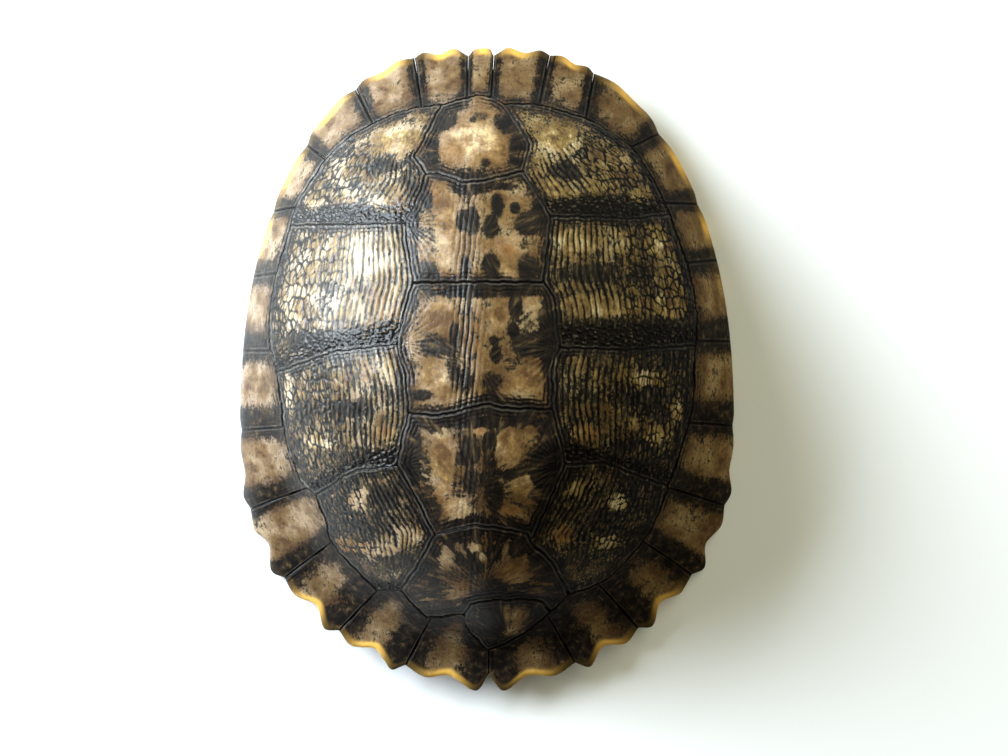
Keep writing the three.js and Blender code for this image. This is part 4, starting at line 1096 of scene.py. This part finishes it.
# The front marginals fade out and the rear ones fade in over these angles from the head.
FRONT_FADE_FROM = 42
FRONT_FADE_SPAN = 22
REAR_FADE_FROM = 118
REAR_FADE_SPAN = 20
MARGINAL_DARKNESS = -0.2
RIGHT_DARKER = 0.14
REAR_DARKER = 0.1
FRONT_SEAM_DARK = 1.1
REAR_SEAM_DARK = 1.5
BORDER_DARK = 0.35
BORDER_DARK_WIDTH = 0.24
MARGINAL_SHEEN = 0.65
# The amber rim, partly painted glow: its width and where along each scute it is strongest.
AMBER_WIDTH = 0.8 * MM
AMBER_MIDDLE = 0.43
AMBER_SPREAD = 0.21


def marginal(node_name, piece_name, seed, mirrored):
    """Makes one scute of the rim; a mirrored one has its rearward seam at its start."""
    grid, faces, made = folded(node_name)
    row_count, station_count = grid.shape[:2]
    points = grid.reshape(-1, 3)
    places = np.clip(np.concatenate([[0], made["places"], [1]]), 0, 1)
    along = np.tile(1 - places if mirrored else places, (row_count, 1))
    down = np.tile(made["shares"][:, None], (1, station_count))
    top_count = len(made["edges"])
    outside = np.arange(row_count)[:, None] < made["outside"]
    to_seam = np.minimum(along, 1 - along) * made["length"]
    edge = np.where(outside, np.minimum(to_seam, down * made["width"].mean()), 0)
    row = np.tile(np.arange(row_count)[:, None], (1, station_count))
    past_top = np.clip((row - top_count + 1) / (2 * EDGE_ROWS), 0, 1)
    from_rim = (1 - down) * made["width"].mean()
    plan = points[:, :2]
    facing = head_angle(plan[:, 0], plan[:, 1]).reshape(row_count, station_count)
    front = 1 - smooth((facing - FRONT_FADE_FROM) / FRONT_FADE_SPAN)
    rear = smooth((facing - REAR_FADE_FROM) / REAR_FADE_SPAN)
    # The amber along the rim, partly the horn's own yellow edge and partly painted glow of light
    # through it: at the front and rear, strongest mid-scute, weaker to the right.
    rim = np.exp(-((from_rim / AMBER_WIDTH) ** 2)) * (row < made["outside"])
    amber = np.exp(-(((along - AMBER_MIDDLE) / AMBER_SPREAD) ** 2))
    amber = rim * (front + rear) * (0.05 + 0.9 * amber)
    to_right = smooth(grid[:, :, 0] / (40 * MM) + 0.5)
    amber *= 1 - 0.3 * to_right
    dark = MARGINAL_DARKNESS + RIGHT_DARKER * to_right + REAR_DARKER * rear
    # Dark on both sides of each seam, more so behind a scute and out towards its rim, and dark
    # along the inner border.
    dark += FRONT_SEAM_DARK * np.exp(-((along / (0.14 + 0.06 * rear)) ** 2))
    behind = np.exp(-(((1 - along) / (0.28 - 0.1 * front + 0.1 * rear)) ** 4))
    dark += REAR_SEAM_DARK * behind * (0.55 - 0.2 * front + (0.45 + 0.2 * front) * down)
    at_border = np.exp(-((down / BORDER_DARK_WIDTH) ** 2))
    dark += (BORDER_DARK + 0.1 * front + 0.5 * rear) * at_border
    fields = {
        "flow": (down * made["width"].mean()).ravel(),
        "edge": edge.ravel(),
        "skin": (smooth(edge / LIP_WIDTH) * (past_top < 0.5) * outside).ravel(),
        "ridged": np.full(points.shape[0], 0.1),
        "streaky": np.ones(points.shape[0]),
        # Painted sheen, weaker on the rim scutes.
        "painted_sheen": MARGINAL_SHEEN * painted_sheen(plan),
        "dark": dark.ravel(),
        "ruddy": np.clip(marks_at(plan, RUDDY_MARKS), 0, 1),
        "rim": amber.ravel(),
    }
    bare = horn_object(piece_name, points, faces, fields)
    scute = grow(bare, ridge_pitch=1.5 * MM, ridge_height=0.2 * MM, ridge_wander=1.5 * MM,
                 seam_pitch=1.1 * MM, seam_height=0.24 * MM, seam_reach=3.2 * MM, seed=seed,
                 material=marginal_horn)
    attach(scute, "root")
    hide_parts(node_name)


for side in ("left", "right"):
    for i in range(1, 13):
        marginal(f"marginal_{side}_{i}", f"marginal_scute_{side}_{i}", 40 + 1.7 * i,
                 mirrored=side == "right")
marginal("cervical", "cervical_scute", 31.0, mirrored=False)

# ---- Bony shell ---------------------------------------------------------------------------
# The plates of bone under the horn, grown together at zigzag sutures into one dry cream dome.
# The backbone and eight pairs of ribs are fused to its inside.
BONE_CLEARANCE = 0.6 * MM
BONE_THICKNESS = 3 * MM
BONE_KEEL = 1.6 * MM
BONE_INSET = 4.8 * MM
BONE_FRONT_INSET = 1.4 * MM
BONE_FRONT_FROM = 8
BONE_FRONT_SPAN = 20
BONE_REAR_INSET = 6 * MM
BONE_REAR_FROM = 92
BONE_REAR_SPAN = 34
BONE_FLOOR_RISE = 0.2 * MM
SPOKES = 420
UNDER_RINGS = 150
TOP_RINGS = 30
SPINE_FRONT = 64 * MM
SPINE_REAR = -68 * MM
VERTEBRAE = 10
SPINE_DEPTH = 6 * MM
SPINE_WAIST_DEPTH = 0.8 * MM
SPINE_HALF_WIDTH = 3.1 * MM
SPINE_SWELLING = 1.2 * MM
SPINE_END_FADE = 4 * MM
RIB_PAIRS = 8
RIB_FRONT = 50 * MM
RIB_PITCH = 14 * MM
RIB_FAN = 7
RIB_RISE = 1.4 * MM
RIB_HALF_WIDTH = 2.2 * MM
RIB_WIDENING = 2.4 * MM
RIB_WIDENING_LENGTH = 50 * MM
RIB_ROOT_LENGTH = 3 * MM
RIB_FADE_FROM = 30 * MM
RIB_FADE_SPAN = 26 * MM
SUTURE_START = 4 * MM
SUTURE_END = 62 * MM
SUTURE_WIDTH = 0.45 * MM
SUTURE_DEPTH = 0.35 * MM
WALL_INSET = 2.5 * MM


def bone_edge(angle):
    """Radius of the bone's edge, further inside the horn's at the front and the rear."""
    front = BONE_FRONT_INSET * (1 - smooth((angle - BONE_FRONT_FROM) / BONE_FRONT_SPAN))
    rear = BONE_REAR_INSET * smooth((angle - BONE_REAR_FROM) / BONE_REAR_SPAN)
    return outline_radius(angle) - (BONE_INSET + front + rear)


def under_relief(plan):
    """How far the backbone and ribs stand out of the bone's inside, less the sutures."""
    x, y = plan[:, 0], plan[:, 1]
    beside = np.abs(x - keel_x(y))
    pitch = (SPINE_FRONT - SPINE_REAR) / VERTEBRAE
    turn = np.cos(2 * np.pi * (SPINE_FRONT - y) / pitch)
    half = SPINE_HALF_WIDTH + SPINE_SWELLING * turn
    ends = smooth((SPINE_FRONT - y) / SPINE_END_FADE) * smooth((y - SPINE_REAR) / SPINE_END_FADE)
    depth = SPINE_DEPTH - SPINE_WAIST_DEPTH * (1 - turn) / 2
    relief = depth * smooth(1.45 - beside / half / 1.1) * ends
    grooves = np.zeros(len(plan))
    for i in range(RIB_PAIRS):
        slant = np.radians((i - (RIB_PAIRS - 1) / 2) * RIB_FAN)
        root = RIB_FRONT - i * RIB_PITCH
        out = np.abs(x - keel_x(root))
        off = (y - root) * np.cos(slant) + out * np.sin(slant)
        run = out * np.cos(slant) - (y - root) * np.sin(slant)
        half = RIB_HALF_WIDTH + RIB_WIDENING * np.clip(run / RIB_WIDENING_LENGTH, 0, 1)
        fade = 1 - smooth((run - RIB_FADE_FROM) / RIB_FADE_SPAN)
        rib = RIB_RISE * smooth(1.5 - np.abs(off) / half) * fade * smooth(run / RIB_ROOT_LENGTH)
        relief = np.maximum(relief, rib)
        zigzag = 0.55 * MM * np.sin(run / (0.9 * MM)) + 0.4 * MM * np.sin(run / (2.1 * MM))
        seam = np.abs(off + RIB_PITCH / 2 + zigzag) / SUTURE_WIDTH
        present = (run > SUTURE_START) & (run < SUTURE_END)
        grooves = np.maximum(grooves, np.exp(-(seam**2)) * present)
    return relief - SUTURE_DEPTH * grooves, grooves


def bone_shell():
    """One closed polar grid: over the top, round the edge and back along the inside."""
    signed = np.arange(SPOKES) * 360 / SPOKES
    angle = np.where(signed > 180, 360 - signed, signed)
    direction = np.column_stack([np.sin(np.radians(signed)), np.cos(np.radians(signed))])
    middle = np.array([0, CENTRE_Y])
    radius = outline_radius(angle)
    floor = rim_lift(angle) + SCUTE_THICKNESS + BONE_CLEARANCE
    top_depth = SCUTE_THICKNESS + BONE_CLEARANCE
    under_depth = top_depth + BONE_THICKNESS

    def spots(reach):
        return middle + direction * reach[:, None]

    rows = []
    stain = []
    for share in np.arange(1, TOP_RINGS + 1) / TOP_RINGS:
        rows.append(sink(spots(share * bone_edge(angle)), top_depth, BONE_KEEL))
        stain.append(np.zeros(SPOKES))
    rim_top = rows[-1]
    rows.append(np.column_stack([rim_top[:, :2], floor]))
    reach = radius - foot_width(angle) - WALL_INSET
    inner_edge = np.column_stack([spots(reach), floor + BONE_FLOOR_RISE])
    for share in (0.33, 0.66, 1.0):
        rows.append(rows[TOP_RINGS] * (1 - share) + inner_edge * share)
    stain.extend([np.zeros(SPOKES)] * 4)
    for share in np.linspace(1, 0, UNDER_RINGS + 1)[1:-1]:
        plan = spots(share * reach)
        relief, grooves = under_relief(plan)
        row = sink(plan, under_depth + relief, 0)
        row[:, 2] = np.maximum(row[:, 2], floor + BONE_FLOOR_RISE)
        rows.append(row)
        stain.append(grooves)
    grid = np.array(rows)
    crown = sink(np.array([middle]), top_depth, BONE_KEEL)
    relief, _ = under_relief(np.array([middle]))
    inside = sink(np.array([middle]), under_depth + relief, 0)
    points = np.vstack([crown, grid.reshape(-1, 3), inside])
    at = 1 + np.arange(len(rows) * SPOKES).reshape(len(rows), SPOKES)
    faces = [(0, int(b), int(a)) for a, b in zip(at[0], np.roll(at[0], -1))]
    for upper, lower in zip(at[:-1], at[1:]):
        faces.extend(zip(upper.tolist(), np.roll(upper, -1).tolist(),
                         np.roll(lower, -1).tolist(), lower.tolist()))
    last = len(points) - 1
    faces.extend((int(a), int(b), last) for a, b in zip(at[-1], np.roll(at[-1], -1)))
    return points, faces, np.concatenate([[0], np.concatenate(stain), [0]])


def dry_bone():
    """Cream bone with brown stains, fine pores and dark sutures."""
    material = bpy.data.materials.new("dry_bone")
    material.use_nodes = True
    tree = material.node_tree
    tree.nodes.clear()
    place = node(tree, "ShaderNodeTexCoord").outputs["Object"]
    suture = node(tree, "ShaderNodeAttribute", attribute_name="suture").outputs["Fac"]
    cloud = noise(tree, place, 60, 5.0, 0.6)
    colour = ramp(tree, cloud, (0.35, tone(186, 160, 118)), (0.55, tone(216, 198, 160)),
                  (0.7, tone(232, 218, 186)))
    stains = spread(tree, noise(tree, place, 28, 3.0), 0.52, 0.7, 0.0, 0.55)
    colour = mixed(tree, stains, colour, tone(150, 118, 76))
    colour = mixed(tree, calc(tree, "MULTIPLY", suture, 0.7), colour, tone(112, 84, 54))
    pores = noise(tree, place, 1500, 4.0, 0.7)
    pitted = spread(tree, pores, 0.3, 0.42, 0.45, 0.0)
    colour = mixed(tree, pitted, colour, tone(140, 112, 78))
    shader = node(tree, "ShaderNodeBsdfPrincipled")
    feed(tree, shader.inputs["Base Color"], colour)
    feed(tree, shader.inputs["Roughness"], spread(tree, cloud, 0.3, 0.7, 0.6, 0.82))
    roughened(tree, shader, pores, strength=0.5, depth=0.2 * MM)
    return material


bone_points, bone_faces, bone_sutures = bone_shell()
bone = horn_object("bony_shell", bone_points, bone_faces, {"suture": bone_sutures})
bone.data.materials.append(dry_bone())
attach(bone, "root")
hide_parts("bony_carapace")

# ---- Floor, light and camera --------------------------------------------------------------
# A pale sheet of paper, a large soft window light low on the left, a weak fill from the front
# right, and a camera that looks straight down on the shell.
FLOOR_SIZE = 3.0
CAMERA_HEIGHT = 0.56
CAMERA_X = 5.3 * MM
CAMERA_Y = -3.1 * MM
LENS = 63.6


def studio_floor():
    half = FLOOR_SIZE / 2
    mesh = bpy.data.meshes.new("studio_floor")
    mesh.from_pydata([(-half, -half, 0), (half, -half, 0), (half, half, 0), (-half, half, 0)], [],
                     [(0, 1, 2, 3)])
    made = bpy.data.objects.new("studio_floor", mesh)
    bpy.context.scene.collection.objects.link(made)
    paper = bpy.data.materials.new("paper")
    paper.use_nodes = True
    shader = paper.node_tree.nodes["Principled BSDF"]
    shader.inputs["Base Color"].default_value = (0.88, 0.88, 0.88, 1)
    shader.inputs["Roughness"].default_value = 0.9
    mesh.materials.append(paper)
    return made


def soft_light(name, place, size, power, colour):
    lamp = bpy.data.lights.new(name, "AREA")
    lamp.shape = "RECTANGLE"
    lamp.size, lamp.size_y = size
    lamp.energy = power
    lamp.color = colour
    made = bpy.data.objects.new(name, lamp)
    made.location = place
    made.rotation_euler = (-Vector(place)).to_track_quat("-Z", "Y").to_euler()
    bpy.context.scene.collection.objects.link(made)


studio_floor()
soft_light("window", place=(-0.9, 0.44, 0.43), size=(0.8, 0.6), power=51,
           colour=(0.82, 0.92, 1.0))
soft_light("fill", place=(0.85, 0.65, 0.7), size=(1.6, 1.2), power=13, colour=(1.0, 0.98, 0.66))

world = bpy.data.worlds.new("studio")
world.use_nodes = True
world.node_tree.nodes["Background"].inputs["Color"].default_value = (1.0, 1.0, 0.92, 1)
world.node_tree.nodes["Background"].inputs["Strength"].default_value = 0.12
bpy.context.scene.world = world
bpy.context.scene.view_settings.view_transform = "Standard"

lens = bpy.data.cameras.new("camera")
lens.lens = LENS
lens.sensor_width = 36
camera = bpy.data.objects.new("camera", lens)
camera.location = (CAMERA_X, CAMERA_Y, CAMERA_HEIGHT)
bpy.context.scene.collection.objects.link(camera)
bpy.context.scene.camera = camera
